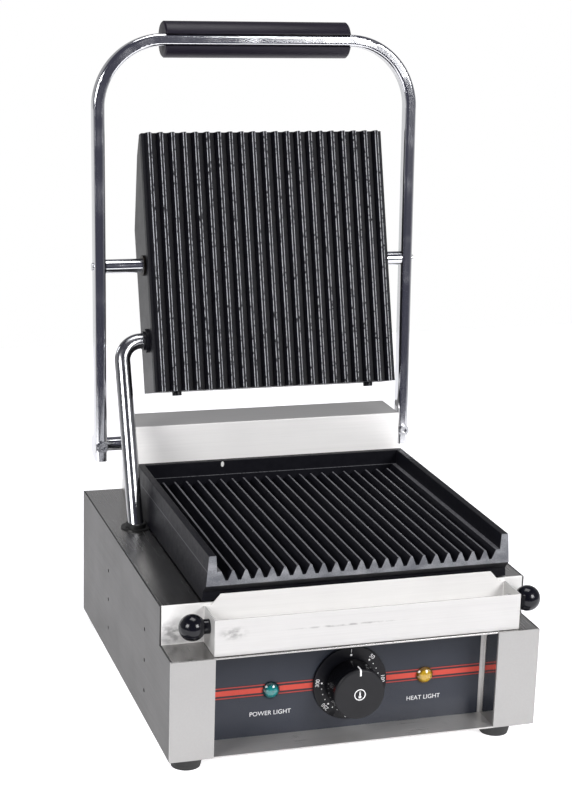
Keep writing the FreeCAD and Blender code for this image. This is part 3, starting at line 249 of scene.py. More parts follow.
post_low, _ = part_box("left_side_panel")
housing_low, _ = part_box("hinge_housing")
tray_low, tray_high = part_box("drip_tray")
ball_low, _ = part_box("left_tray_knob")
label_low, label_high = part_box("fascia_label")
apron = NOTCH_DEPTH + post_low.y
tray_middle = (tray_low.z + tray_high.z) / 2
inner_folds = (label_low.x - 1.4 * MM, label_high.x + 3.9 * MM)
# The apron's dark patch at the tray knob's ball is a painted shadow of the ball.
ball_shadow_mark = Vector((ball_low.x, apron, ball_low.z))
end_mark = Vector((tray_low.x + 14 * MM, tray_low.y, tray_middle - 1 * MM))
streak_mark = Vector((tray_low.x + 100 * MM, tray_low.y, tray_middle - 2 * MM))

# The side panels get a far darker steel than the rest of the base: painted shade on the sides.
steel_side_shaded = brushed("steel_side_shaded", "y", 0.088, 0.44,
                     front=(post_low.y - MM, post_low.y + FRONT_REACH, 0.37, 0.55), mirror=inner_folds)
steel_deck = brushed("steel_deck", "y", 0.40, 0.25,
                     front=(apron - 0.3 * MM, apron + FRONT_REACH, 0.96, 0.10),
                     marks_and_shadows=[(ball_shadow_mark, BALL_SHADOW_REACH)])
steel_tray = brushed("steel_tray", "x", 0.56, 0.36, 0.20,
                     front=(tray_high.y - FRONT_REACH, tray_high.y + MM, 0.98, 0.05),
                     marks_and_shadows=[(end_mark, SMUDGE), (streak_mark, STREAK)])
steel_housing = brushed("steel_housing", "x", 0.66, 0.34, 0.75,
                        front=(housing_low.y - MM, housing_low.y + FRONT_REACH, 0.98, 0.05))
steel_lip = brushed("steel_floor_lip", "x", 0.52, 0.30, 0.62)
# The edge finishes are lighter than their faces: partly worn, partly painted highlight along the rounds.
steel_edge = brushed("steel_fold_edge", "x", 0.80, 0.26)
steel_plain = brushed("steel_zinc_coated", "x", 0.46, 0.42)
print("apron at", round(apron, 4), "tray at", [round(part, 4) for part in tray_low])

# %% [markdown]
# ## Chrome
# The handle and the rods are polished and plated. Polished chrome is a mirror, and its life comes from
# what it reflects, so the room round the grill does most of the work. A flat mirror would look like
# glass: a faint haze of fingerprints, low ripples and tiny pits keep it metal. The bushes that the rods
# turn in are bronze, coloured nearly black: painted shade round the rods' ends.

# %% Chrome and plated screws


def polished(name, level, rough, haze):
    finish = Finish(name, {"Metallic": 1.0})
    pits = finish.noise(1.4 * MM, (1, 1, 1), 5.0)
    cloud = finish.noise(22 * MM, (1, 1, 1), 3.0)
    spots = pits.rise(0.64, 0.72)
    tone = finish.mix(spots * 0.2, grey(level, (0.96, 0.97, 1.0)), grey(level * 0.55))
    roughness = rough + cloud.rise(0.45, 0.75) * haze + spots * 0.05
    ripple = finish.noise(3.5 * MM, (1, 1, 4), 2.0)
    normal = finish.bump(pits, 0.003 * MM, 0.08, finish.bump(ripple, 0.008 * MM, 0.08))
    return finish.feed(Base_Color=tone, Roughness=roughness, Normal=normal)


chrome = polished("chrome_bright", 0.66, 0.11, 0.08)
tube_chrome = polished("chrome_conduit", 0.40, 0.19, 0.08)
plated = polished("screws_plated", 0.62, 0.22, 0.12)


def shaded_bronze():
    finish = Finish("bush_bronze", {"Metallic": 1.0})
    stain = finish.noise(2 * MM)
    # Nearly black: painted shade round the rods' ends.
    tone = finish.mix(stain, (0.010, 0.009, 0.008, 1), (0.030, 0.024, 0.020, 1))
    return finish.feed(Base_Color=tone, Roughness=stain * 0.3 + 0.3)


bronze = shaded_bronze()
print("metals:", ", ".join(metal.name for metal in (chrome, tube_chrome, plated, bronze)))

# %% [markdown]
# ## Cast iron
# The plates are sand-cast, so their skin is grainy, and the seasoning makes it a satin black. The ribs are
# lighter along their corners: partly scraper marks, partly painted highlight. Those lines could be their own
# strips of mesh, but masks give them broken ends at no cost: one by height on the lower ribs, and one by the
# distance to the nearest rib's middle on the upper plate, which leans. The front of the lower plate is
# ground
# flat: bare grey, speckled metal. One chip shows on its rear rim.

# %% Cast iron


def iron(name, wear_and_glint=None, ground=None, chip=None, ribs=None):
    """Seasoned iron.

    wear_and_glint is the span of heights where the lower ribs are painted lighter, partly scraper marks and
    partly highlight, ground the plane of a bare face, chip a point and its reach, and ribs the middle of all
    ribs, their pitch and half the width of a rib's top, whose corners are painted lighter the same way.
    """
    finish = Finish(name, {"Specular IOR Level": 0.13})
    sand = finish.noise(0.9 * MM, (1, 1, 1), 4.0)
    lumps = finish.noise(6 * MM, (1, 1, 1), 3.0)
    tone = finish.mix(lumps, (0.0030, 0.0030, 0.0050, 1), (0.0085, 0.0085, 0.012, 1))
    roughness = 0.46 + (sand - 0.5) * 0.22 + (lumps - 0.5) * 0.2
    if ribs:
        middle, pitch, half = ribs
        across = finish.along("X") - middle
        away = across.math("PINGPONG", across, pitch / 2)
        flaky = finish.noise(0.9 * MM, (1, 3, 3), 4.0).rise(0.34, 0.52)
        # Painted highlight along the upper ribs' corners, partly standing for scraper marks.
        tone = finish.mix(away.between(half - 0.34 * MM, half + 0.05 * MM, 0.14 * MM) * flaky, tone,
                          (0.46, 0.47, 0.50, 1))
    normal = finish.bump(sand, 0.10 * MM, 0.6, finish.bump(lumps, 0.3 * MM, 0.25))
    if wear_and_glint:
        # Lighter lower rib tops: partly scraper marks, partly painted highlight.
        rubbed_and_lit = finish.along("Z").between(*wear_and_glint, 0.1 * MM) * sand.rise(0.2, 0.55)
        tone = finish.mix(rubbed_and_lit, tone, (0.13, 0.13, 0.14, 1))
    if ground:
        bare = 1 - finish.along("Y").rise(ground, ground + 0.25 * MM)
        speck = finish.noise(0.8 * MM, (1.6, 1, 1), 5.0)
        smear = finish.noise(9 * MM, (2, 1, 1), 3.0)
        metal = finish.mix((speck * 0.35 + smear * 0.65).rise(0.34, 0.68), (0.12, 0.124, 0.138, 1),
                           (0.27, 0.275, 0.29, 1))
        tone = finish.mix(bare, tone, metal)
        roughness = roughness * (1 - bare) + bare * 0.5
    if chip:
        tone = finish.mix(finish.near(*chip).rise(0.3, 0.6), tone, (0.75, 0.75, 0.73, 1))
    return finish.feed(Base_Color=tone, Roughness=roughness, Normal=normal)


def iron_edges(name, bright):
    """Iron in lighter, broken streaks: partly scraper marks, partly painted highlight on the rounds."""
    finish = Finish(name, {"Specular IOR Level": 0.5})
    streak = finish.noise(0.8 * MM, (1, 6, 6), 4.0)
    patch = finish.noise(16 * MM, (1, 1, 1), 2.0)
    rubbed_and_lit = (streak * 0.5 + patch * 0.5).rise(0.36, 0.60)
    tone = finish.mix(rubbed_and_lit, (0.010, 0.010, 0.013, 1), grey(bright, (1, 1, 1.05)))
    return finish.feed(Base_Color=tone, Roughness=0.44 - rubbed_and_lit * 0.1,
                       Normal=finish.bump(streak, 0.05 * MM, 0.4))


RIB_DEPTH_BELOW_RIM = 12.3 * MM
RIB_PITCH = 10 * MM
UPPER_RIB_HALF = 1.3 * MM
CHIP_REACH = Vector((2.2, 3.0, 4.0)) * MM
CHIP_FROM_CORNER = Vector((76, -5.5, -3)) * MM

low_plate, high_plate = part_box("lower_plate")
lid_plate_low, lid_plate_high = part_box("upper_plate")
rib_top = high_plate.z - RIB_DEPTH_BELOW_RIM
rib_middle = (lid_plate_low.x + lid_plate_high.x) / 2
chip_place = Vector((low_plate.x, high_plate.y, high_plate.z)) + CHIP_FROM_CORNER

iron_lower = iron("iron_lower", wear_and_glint=(rib_top - 0.12 * MM, rib_top + 0.3 * MM),
                  ground=low_plate.y + 0.3 * MM, chip=(chip_place, CHIP_REACH))
iron_upper = iron("iron_upper", ribs=(rib_middle, RIB_PITCH, UPPER_RIB_HALF))
lower_edge = iron_edges("iron_lower_edge", 0.035)
upper_edge = iron_edges("iron_upper_edge", 0.30)
print("lower ribs rubbed at", round(rib_top, 4), "upper ribs centred on", round(rib_middle, 4))

# %% [markdown]
# ## Paint, plastic and rubber
# The cover is enamelled, the balls, grip, knob and dial are moulded, and the feet are rubber. They differ
# in how glossy they are and in how fine their texture is, so one function makes them all and each gets
# its own numbers. The enamel is half glossy with a faint orange peel. Balls are glossy, the grip and the
# dial are satin, the feet dull. The blacks lean a little to blue or violet.

# %% Plastics and paint


def moulded(name, colour, rough, texture, depth, gloss=0.5):
    """Plastic, paint or rubber: a colour, a roughness and the size and depth of its texture."""
    finish = Finish(name, {"Specular IOR Level": gloss})
    peel = finish.noise(texture)
    cloud = finish.noise(18 * MM, (1, 1, 1), 3.0)
    dark = tuple(0.78 * part for part in colour) + (1.0,)
    light = tuple(1.22 * part for part in colour) + (1.0,)
    roughness = rough + (cloud - 0.5) * 0.14 + (peel - 0.5) * 0.08
    return finish.feed(Base_Color=finish.mix(cloud, dark, light), Roughness=roughness,
                       Normal=finish.bump(peel, depth, 0.5))


enamel = moulded("enamel_black", (0.006, 0.006, 0.009), 0.36, 1.8 * MM, 0.08 * MM, 0.25)
# Lighter edges of the cover: partly worn paint, partly painted highlight.
enamel_edge = moulded("enamel_edge", (0.022, 0.022, 0.026), 0.26, 1.8 * MM, 0.05 * MM)
ball_black = moulded("ball_black", (0.004, 0.004, 0.007), 0.17, 6 * MM, 0.01 * MM, 0.35)
# Lighter rims of the grip: painted highlight along its rounds.
grip_edge = moulded("grip_edge", (0.10, 0.09, 0.11), 0.36, 1.2 * MM, 0.04 * MM)
ring_black = moulded("dial_black", (0.004, 0.004, 0.006), 0.34, 0.7 * MM, 0.03 * MM, 0.22)
grip_black = moulded("grip_black", (0.009, 0.007, 0.014), 0.40, 1.2 * MM, 0.04 * MM, 0.24)
rubber = moulded("rubber_feet", (0.016, 0.016, 0.016), 0.72, 1.0 * MM, 0.06 * MM)
grommet_rubber = moulded("rubber_grommet", (0.012, 0.012, 0.012), 0.42, 1.0 * MM, 0.03 * MM)
phenolic = moulded("phenolic_inside", (0.55, 0.53, 0.48), 0.55, 1.5 * MM, 0.05 * MM)
fibre = moulded("mineral_fibre", (0.62, 0.60, 0.53), 0.95, 2.2 * MM, 0.5 * MM)
sheath = moulded("element_sheath", (0.12, 0.10, 0.09), 0.5, 1.2 * MM, 0.03 * MM)
ink_white = moulded("ink_white", (0.80, 0.80, 0.80), 0.5, 0.6 * MM, 0.01 * MM)
print(len(bpy.data.materials), "finishes so far")

# %% [markdown]
# ## The knob's two surfaces
# The thermostat knob is one moulding with a polished side and a satin face. It could be cut in two pieces
# with a finish each. A mask by depth is simpler and keeps the frame's part whole.

# %% Knob finish
knob_low, knob_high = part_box("thermostat_knob")


def knob_finish():
    """Glossy round the side, satin on the face."""
    finish = Finish("knob_black", {"Specular IOR Level": 0.24})
    peel = finish.noise(0.7 * MM)
    cloud = finish.noise(14 * MM)
    side = finish.along("Y").rise(knob_low.y + 1.2 * MM, knob_low.y + 2.4 * MM)
    tone = finish.mix(side, finish.mix(cloud, (0.006, 0.006, 0.007, 1), (0.012, 0.012, 0.014, 1)),
                      (0.003, 0.003, 0.004, 1))
    roughness = 0.42 + (peel - 0.5) * 0.12 - side * 0.28
    return finish.feed(Base_Color=tone, Roughness=roughness, Normal=finish.bump(peel, 0.03 * MM, 0.4))


knob_black = knob_finish()
print("knob face at", round(knob_low.y, 4))

# %% [markdown]
# ## The printed fascia
# The label behind the knob is a slate blue sheet, lighter towards its foot, with a red band between two
# thin red lines. The stripes could be thin strips of mesh, but they would catch light along their edges
# as print doesn't. Each is a mask between two heights, measured from the middle of the power lamp.

# %% Printed fascia
lens_low, lens_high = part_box("power_lamp")
stripe_mid = (lens_low.z + lens_high.z) / 2


def printed():
    """Slate with a red band and a thin red line above and below it, all three on a darker ground."""
    finish = Finish("fascia_print", {"Specular IOR Level": 0.22})
    height = finish.along("Z")
    grain = finish.noise(0.5 * MM)
    cloud = finish.noise(30 * MM)
    fade = height.rise(label_low.z, label_high.z)
    slate = finish.mix(fade * 0.85 + (cloud - 0.5) * 0.3,
                       (0.038, 0.042, 0.055, 1), (0.014, 0.017, 0.025, 1))
    band = height.between(stripe_mid - 1.5 * MM, stripe_mid + 2.4 * MM, 0.25 * MM)
    upper = height.between(stripe_mid + 4.2 * MM, stripe_mid + 4.9 * MM, 0.2 * MM)
    lower = height.between(stripe_mid - 3.9 * MM, stripe_mid - 3.2 * MM, 0.2 * MM)
    edge = height.between(stripe_mid - 4.6 * MM, stripe_mid + 5.6 * MM, 0.3 * MM)
    tone = finish.mix(edge * 0.55, slate, (0.028, 0.012, 0.014, 1))
    tone = finish.mix(upper + lower, tone, (0.34, 0.040, 0.033, 1))
    tone = finish.mix(band, tone, (0.52, 0.060, 0.040, 1))
    return finish.feed(Base_Color=tone, Roughness=0.30 + (grain - 0.5) * 0.12 + (cloud - 0.5) * 0.1,
                       Normal=finish.bump(grain, 0.01 * MM, 0.3))


fascia_print = printed()
print("stripe at", round(stripe_mid, 4))

# %% [markdown]
# ## Lamp lenses
# Each lens is tinted clear plastic over a faceted core. Real refraction would need a modelled core and
# more light than so small a part gets. Small cells in the bump stand for the facets, a coat gives the
# clear skin, and the tint darkens towards the rim, where the light has to cross more plastic. The tint
# also glows faintly: painted light for what shines through the lens.

# %% Lenses
FACETS_PER_METRE = 520.0
FACET_SPREAD = 0.6 * MM


def lens(name, node, rim_colour, core_colour):
    low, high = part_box(node)
    middle = (low + high) / 2
    # The faint emission is painted light: the lens glows in its own tint.
    finish = Finish(name, {"Coat Weight": 1.0, "Coat Roughness": 0.03, "IOR": 1.49,
                           "Emission Strength": 0.12})
    centred = finish.node("ShaderNodeVectorMath", {"operation": "SUBTRACT"}, {0: finish.place, 1: middle})
    flat = finish.node("ShaderNodeVectorMath", {"operation": "MULTIPLY"}, {0: centred, 1: (1, 0, 1)})
    away = finish.node("ShaderNodeVectorMath", {"operation": "LENGTH"}, {0: flat}, "Value")
    facets = finish.node("ShaderNodeTexVoronoi", {"feature": "F1"},
                         {"Vector": finish.place, "Scale": FACETS_PER_METRE}, "Distance")
    radius = (high.x - low.x) / 2
    rim = (away + facets * FACET_SPREAD).rise(radius * 0.55, radius * 0.98)
    tone = finish.mix(rim, core_colour, rim_colour)
    tone = finish.mix(facets * 0.5, tone, rim_colour)
    return finish.feed(Base_Color=tone, Emission_Color=tone, Roughness=facets * 0.1 + 0.08,
                       Normal=finish.bump(facets, 0.3 * MM, 0.5))


green_lens = lens("lens_green", "power_lamp", (0.0, 0.018, 0.022, 1), (0.005, 0.20, 0.20, 1))
amber_lens = lens("lens_amber", "heat_lamp", (0.10, 0.048, 0.001, 1), (0.52, 0.32, 0.015, 1))
print("lenses:", green_lens.name, amber_lens.name)

# %% [markdown]
# ## Easing the edges
# The frame's sheets and castings have knife edges. Real ones catch a thin line of light along every fold
# and rim. A Bevel node in the material would only tilt the light, and the outline would stay a knife
# edge. So a copy of the part is merged, its flat triangles are dissolved, and every outer edge gets a
# small round with a finish of its own, mostly lighter: partly worn, partly a painted highlight. The copy
# then stands for the part.
# Large faces stay flat-shaded: smooth shading would bend the light round every hole in them.

# %% Edge easing
SHARP = math.radians(28)
FLAT = math.radians(1.0)
WELD = 0.002 * MM
LARGE_FACE = 14 * MM * MM
eased_parts = []


def add_piece(name, mesh, body, slot, *finishes):
    """Link a finished mesh as a piece that rides on a body. Its first finish is for most faces."""
    mesh.materials.clear()
    for finish in finishes:
        mesh.materials.append(finish)
    piece = bpy.data.objects.new(name, mesh)
    bpy.context.scene.collection.objects.link(piece)
    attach(piece, body)
    return piece


def shade(bm, flat_area=math.inf):
    """Smooth faces, except large flat ones, with sharp edges where two faces meet at a marked angle."""
    for face in bm.faces:
        face.smooth = face.calc_area() < flat_area
    for edge in bm.edges:
        edge.smooth = len(edge.link_faces) == 2 and edge.calc_face_angle(0.0) < SHARP


def eased(node, finish, edge_finish, width, segments=2, flat_area=LARGE_FACE):
    """A copy of a frame part with its outer edges rounded and in an edge finish, which stands for it."""
    bm = bmesh.new()
    bm.from_mesh(nodes[node].data)
    bmesh.ops.remove_doubles(bm, verts=bm.verts, dist=WELD)
    bmesh.ops.dissolve_limit(bm, angle_limit=FLAT, verts=bm.verts, edges=bm.edges)
    edges = [edge for edge in bm.edges if edge.is_convex and edge.calc_face_angle(0.0) > SHARP]
    rounded = bmesh.ops.bevel(bm, geom=edges, offset=width, offset_type="OFFSET", affect="EDGES",
                              segments=segments, profile=0.5, material=-1, clamp_overlap=True)
    for face in rounded["faces"]:
        face.material_index = 1
    shade(bm, flat_area)
    mesh = bpy.data.meshes.new(node + "_eased")
    bm.to_mesh(mesh)
    bm.free()
    piece = add_piece(node + "_eased", mesh, bodies[node], slots[node], finish, edge_finish)
    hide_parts(node)
    eased_parts.append(node)


def dress(finish, *names):
    """Give frame parts a finish where they stand."""
    for name in names:
        mesh = nodes[name].data
        mesh.materials.clear()
        mesh.materials.append(finish)


print("edges that turn more than", round(math.degrees(SHARP)), "degrees are eased")

# %% [markdown]
# ## The base
# The base is cut and folded from 1.2 mm sheet. The side panels and the deck are brushed front to back, and
# the tray, the hinge housing and the bottom plate from left to right. The frame already has the folds, so
# nothing is remodelled: each sheet that shows gets a small round along its edges. The plate behind the
# label, the rear panel and the brackets only get their finish.

# %% Base sheets
eased("left_side_panel", steel_side_shaded, steel_edge, 0.30 * MM)
eased("right_side_panel", steel_side_shaded, steel_edge, 0.30 * MM)
eased("top_deck", steel_deck, steel_edge, 0.30 * MM)
eased("hinge_housing", steel_housing, steel_edge, 0.35 * MM)
eased("drip_tray", steel_tray, steel_edge, 0.35 * MM)
eased("bottom_plate", steel_lip, steel_edge, 0.30 * MM)
dress(steel_tray, "fascia_plate")
dress(steel_housing, "rear_panel")
dress(steel_plain, "left_hinge_bracket", "right_hinge_bracket", "lower_element_clamp",
      "upper_front_element_clamp", "upper_rear_element_clamp")
print("eased:", ", ".join(eased_parts))

# %% [markdown]
# ## The plates and the cover
# A sand mould can't hold a sharp corner, so castings are round everywhere that a cutter hasn't been. The
# ribs could be made here from a profile, but the frame's ribs are at their real pitch, so their corners
# are eased instead. The cover's wall is thicker than the base's sheet, and it gets a wider round.

# %% Plates
eased("lower_plate", iron_lower, lower_edge, 0.45 * MM)
eased("upper_plate", iron_upper, upper_edge, 0.42 * MM)
eased("upper_cover", enamel, enamel_edge, 1.0 * MM, 3)
print("eased:", ", ".join(eased_parts[-3:]))

# %% [markdown]
# ## Handle, grip and small parts
# The chrome bar, the rods, the balls and the screws are round or small, so they stay as the frame has
# them and are only dressed. The grip and the dial ring are moulded with soft rims, and both are eased
# like the sheets. The ring keeps its small faces smooth up to a larger area, because it is round.

# %% Handle, grip and small parts
RING_LARGE_FACE = 60 * MM * MM
dress(chrome, "handle_bar", "cross_rod", "hinge_shaft")
dress(plated, "arm_bolts", "grip_screws", "rear_panel_screws", "foot_screws", "thermostat_screws",
      "tray_knob_screws", "plate_bolts", "gland_nut", "thermostat_shaft", "spring_collars",
      "left_lid_spring", "right_lid_spring")
dress(bronze, "left_hinge_bush", "right_hinge_bush", "left_rod_bush", "right_rod_bush")
eased("grip", grip_black, grip_edge, 0.5 * MM, flat_area=math.inf)
dress(ball_black, "left_tray_knob", "right_tray_knob")
dress(knob_black, "thermostat_knob")
dress(ring_black, "cable_gland")
dress(enamel, "conduit_gland", "cover_bolts")
eased("dial_ring", ring_black, ring_black, 0.5 * MM, flat_area=RING_LARGE_FACE)
dress(rubber, "feet")
dress(grommet_rubber, "conduit_grommet")
dress(fascia_print, "fascia_label")
dress(green_lens, "power_lamp")
dress(amber_lens, "heat_lamp")
dress(phenolic, "power_lamp_holder", "heat_lamp_holder", "thermostat", "terminal_block")
dress(sheath, "lower_element", "upper_front_element", "upper_rear_element")
dress(fibre, "lower_insulation", "upper_insulation")
print(len(nodes) - len(eased_parts), "parts dressed where they stand")

# %% [markdown]
# ## The conduit between base and lid
# The wires to the upper plate run in a bent chrome tube. When the lid comes down, a real one either
# flexes or slides into the base through its grommet: which one isn't known. A piece that rode on the lid
# would swing out of the deck, and one that rode on the base would be left behind. So the tube is cut in
# two near the cover. The long run rides on the base, and the short stub turns with the upper plate.
# Both cut ends are closed.

# %% Conduit
SEAM_FROM_COVER = 5 * MM

cover_low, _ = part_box("upper_cover")
seam = cover_low.x - SEAM_FROM_COVER


def conduit_part(name, keep_side):
    """The conduit on one side of the seam: -1 is the long run, 1 the stub in the cover."""
    bm = bmesh.new()
    bm.from_mesh(nodes["conduit"].data)
    bmesh.ops.remove_doubles(bm, verts=bm.verts, dist=WELD)
    geometry = bm.verts[:] + bm.edges[:] + bm.faces[:]
    cut = bmesh.ops.bisect_plane(bm, geom=geometry, dist=0.0001 * MM, plane_co=(seam, 0, 0),
                                 plane_no=(1, 0, 0), clear_outer=keep_side < 0, clear_inner=keep_side > 0)
    rim = [part for part in cut["geom_cut"] if isinstance(part, bmesh.types.BMEdge)]
    bmesh.ops.bridge_loops(bm, edges=rim)
    bmesh.ops.recalc_face_normals(bm, faces=bm.faces)
    shade(bm)
    mesh = bpy.data.meshes.new(name)
    bm.to_mesh(mesh)
    bm.free()
    return mesh


run = add_piece("conduit_run", conduit_part("conduit_run", -1), "base", slots["conduit"], tube_chrome)
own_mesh(run)
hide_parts("conduit")
stub = add_piece("conduit_stub", conduit_part("conduit_stub", 1), "upper", slots["conduit"], tube_chrome)
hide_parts("conduit")
print("conduit seam at", round(seam, 4))

# %% [markdown]
# ## Printing on the dial, the knob and the fascia
# Screen print is a film of ink. Masks in the material could draw lines and dots but not letters, and an
# image would blur close up. So small print is thin geometry: text and discs a few hundredths of a
# millimetre proud of the surface they are printed on. They stay sharp at any distance and turn with the
# part they sit on.

# %% Printing helpers
INK = 0.05 * MM
INK_WELD = 0.001 * MM


def on_front(x, y, z, turn=0.0):
    """Places a flat shape, drawn facing up, so that it faces forwards, turned clockwise by an angle."""
    return (Matrix.Translation((x, y, z)) @ Matrix.Rotation(math.radians(90), 4, "X")
            @ Matrix.Rotation(-math.radians(turn), 4, "Z"))


def words(text, height):
    """A mesh of some text, centred."""
    curve = bpy.data.curves.new("words", "FONT")
    curve.body = text
    curve.size = height
    curve.extrude = INK / 2
    curve.align_x = "CENTER"
    curve.align_y = "CENTER"
    written = bpy.data.objects.new("words", curve)
    mesh = bpy.data.meshes.new_from_object(written)
    bpy.data.objects.remove(written)
    return mesh


def stamp(bm, mesh, matrix):
    """Add a mesh to a bmesh at a place."""
    mesh.transform(matrix)
    bm.from_mesh(mesh)
    bpy.data.meshes.remove(mesh)


def disc(bm, radius, matrix, segments=16):
    """A thin disc, printed at a place."""
    made = bmesh.ops.create_circle(bm, cap_ends=True, radius=radius, segments=segments, matrix=matrix)
    faces = list({face for vert in made["verts"] for face in vert.link_faces})
    grown = bmesh.ops.extrude_face_region(bm, geom=faces)
    lifted = [part for part in grown["geom"] if isinstance(part, bmesh.types.BMVert)]
    normal = matrix.to_3x3() @ Vector((0, 0, 1))
    bmesh.ops.translate(bm, verts=lifted, vec=normal * INK)


def printed_piece(name, bm, body, slot):
    """Weld a bmesh of print and link it as a piece in white ink."""
    bmesh.ops.remove_doubles(bm, verts=bm.verts, dist=INK_WELD)
    bmesh.ops.recalc_face_normals(bm, faces=bm.faces)
    for face in bm.faces:
        face.smooth = False
    mesh = bpy.data.meshes.new(name)
    bm.to_mesh(mesh)
    bm.free()
    add_piece(name, mesh, body, slot, ink_white)


print("ink stands", round(INK / MM, 3), "mm proud")

# %% [markdown]
# ## The dial's scale
# The numbers count up clockwise round the ring, with a dot at each and three between. They stand on two
# circles: the sine and the cosine of an angle give each its place, and the same angle turns it, so its
# head points away from the middle. The mark at the top is where the pointer stands at rest.

# %% Dial scale
ring_low, ring_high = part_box("dial_ring")
dial_x, dial_z = (ring_low.x + ring_high.x) / 2, (ring_low.z + ring_high.z) / 2
FIRST_MARK, MARK_STEP, MARKS, PARTS_PER_MARK = 40.0, 47.0, 6, 4
NUMBER_REACH, DOT_REACH = 26.1 * MM, 22.9 * MM
NUMBER_HEIGHT, TOP_MARK_HEIGHT = 4.4 * MM, 4.0 * MM
BIG_DOT, SMALL_DOT, TOP_DOT = 0.75 * MM, 0.45 * MM, 0.9 * MM


def round_dial(reach, turn, y):
    angle = math.radians(turn)
    return on_front(dial_x + reach * math.sin(angle), y, dial_z + reach * math.cos(angle), turn)


scale = bmesh.new()
for number in range(MARKS):
    turn = FIRST_MARK + MARK_STEP * number
    degrees = str(50 + 50 * number)
    stamp(scale, words(degrees, NUMBER_HEIGHT), round_dial(NUMBER_REACH, turn, ring_low.y - INK / 2))
    disc(scale, BIG_DOT, round_dial(DOT_REACH, turn, ring_low.y))
    for part in range(1, PARTS_PER_MARK if number < MARKS - 1 else 1):
        part_turn = turn + MARK_STEP * part / PARTS_PER_MARK
        disc(scale, SMALL_DOT, round_dial(DOT_REACH, part_turn, ring_low.y))
disc(scale, TOP_DOT, round_dial(DOT_REACH, 0, ring_low.y))
stamp(scale, words("I", TOP_MARK_HEIGHT), round_dial(NUMBER_REACH, 0, ring_low.y - INK / 2))
printed_piece("dial_scale", scale, "base", slots["dial_ring"])
print("dial at", round(dial_x, 4), round(dial_z, 4))

# %% [markdown]
# ## The knob's pointer and sign
# A white line runs from the knob's face over its rounded edge on to its side. Drawn flat it would cut
# through the round, so its profile follows the round as a chain of points, and extruding the chain
# sideways makes the strip. The sign on the face is a ring with a small thermometer in it.

# %% Knob pointer and sign
POINTER = 1.3 * MM
POINTER_ON_FACE, POINTER_ON_SIDE = 5 * MM, 7 * MM
KNOB_ROUND = 2 * MM
ROUND_STEPS = 6
SIGN_RING = (4.5 * MM, 3.8 * MM)
BULB, BULB_DROP = 1.15 * MM, 1.7 * MM
TIP, TIP_RISE = 0.6 * MM, 2.2 * MM
STEM_WIDTH, STEM_HEIGHT, STEM_RISE = 1.2 * MM, 3.8 * MM, 0.4 * MM
knob_radius = (knob_high.x - knob_low.x) / 2


def knob_pointer():
    """A line over the knob's rounded edge: drawn in profile, then swept across its width."""
    bm = bmesh.new()
    outer_round = KNOB_ROUND + INK
    profile = [(knob_low.y - INK, knob_radius - POINTER_ON_FACE)]
    for step in range(ROUND_STEPS + 1):
        angle = math.radians(90 / ROUND_STEPS * step)
        profile.append((knob_low.y + KNOB_ROUND - outer_round * math.cos(angle),
                        knob_radius - KNOB_ROUND + outer_round * math.sin(angle)))
    profile.append((knob_low.y + POINTER_ON_SIDE, knob_radius + INK))
    line = [bm.verts.new((dial_x - POINTER / 2, y, dial_z + reach)) for y, reach in profile]
    for one, other in zip(line, line[1:]):
        bm.edges.new((one, other))
    swept = bmesh.ops.extrude_edge_only(bm, edges=bm.edges[:])
    moved = [part for part in swept["geom"] if isinstance(part, bmesh.types.BMVert)]
    bmesh.ops.translate(bm, verts=moved, vec=(POINTER, 0, 0))
    return bm


def thermometer():
    """A ring with a bulb, a stem and the stem's round end in it."""
    bm = bmesh.new()
    for radius in SIGN_RING:
        bmesh.ops.create_circle(bm, radius=radius, segments=48,
                                matrix=on_front(dial_x, knob_low.y - INK, dial_z))
    bmesh.ops.bridge_loops(bm, edges=bm.edges[:])
    disc(bm, BULB, on_front(dial_x, knob_low.y, dial_z - BULB_DROP), 24)
    disc(bm, TIP, on_front(dial_x, knob_low.y, dial_z + TIP_RISE), 16)
    bmesh.ops.create_grid(bm, x_segments=1, y_segments=1, size=0.5,
                          matrix=on_front(dial_x, knob_low.y - INK, dial_z + STEM_RISE)
                          @ Matrix.Diagonal((STEM_WIDTH, STEM_HEIGHT, 1, 1)))
    return bm


printed_piece("knob_pointer", knob_pointer(), "knob", slots["thermostat_knob"])
printed_piece("knob_sign", thermometer(), "knob", slots["thermostat_knob"])
print("pointer", round(POINTER / MM, 2), "mm wide on a knob of radius", round(knob_radius / MM, 1))

# %% [markdown]
# ## The words under the lamps
# Each lamp has a plain caption printed under it, which says what it shows. The words hang from the same
# height as the stripe and stand under the middle of each lamp's box, so they follow the lamps.

# %% Words under the lamps
WORDS_DROP, WORDS_HEIGHT = 18.8 * MM, 5.0 * MM
heat_low, heat_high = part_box("heat_lamp")
caption = bmesh.new()
for text, low, high in (("POWER LIGHT", lens_low, lens_high), ("HEAT LIGHT", heat_low, heat_high)):
    place = on_front((low.x + high.x) / 2, label_low.y - INK / 2, stripe_mid - WORDS_DROP)
    stamp(caption, words(text, WORDS_HEIGHT), place)
printed_piece("fascia_words", caption, "base", slots["fascia_label"])
print("captions at", round(stripe_mid - WORDS_DROP, 4))

# %% [markdown]
# ## Recesses in the screw heads
# The frame's screws have plain round heads. Real ones have a cross punched in, and at this size only its
# shadow shows. Cutting it would mean replacing every screw, so the heads of the rear panel's screws and the
# foot screws get two crossing bars instead, barely proud of them, in the colour of a shadow.

# %% Screw recesses
BAR_SHARE = 0.22
REAR_CROSS, FOOT_CROSS = 3.6 * MM, 4.0 * MM
shadow = moulded("recess_dark", (0.012, 0.012, 0.013), 0.6, 0.5 * MM, 0.01 * MM)


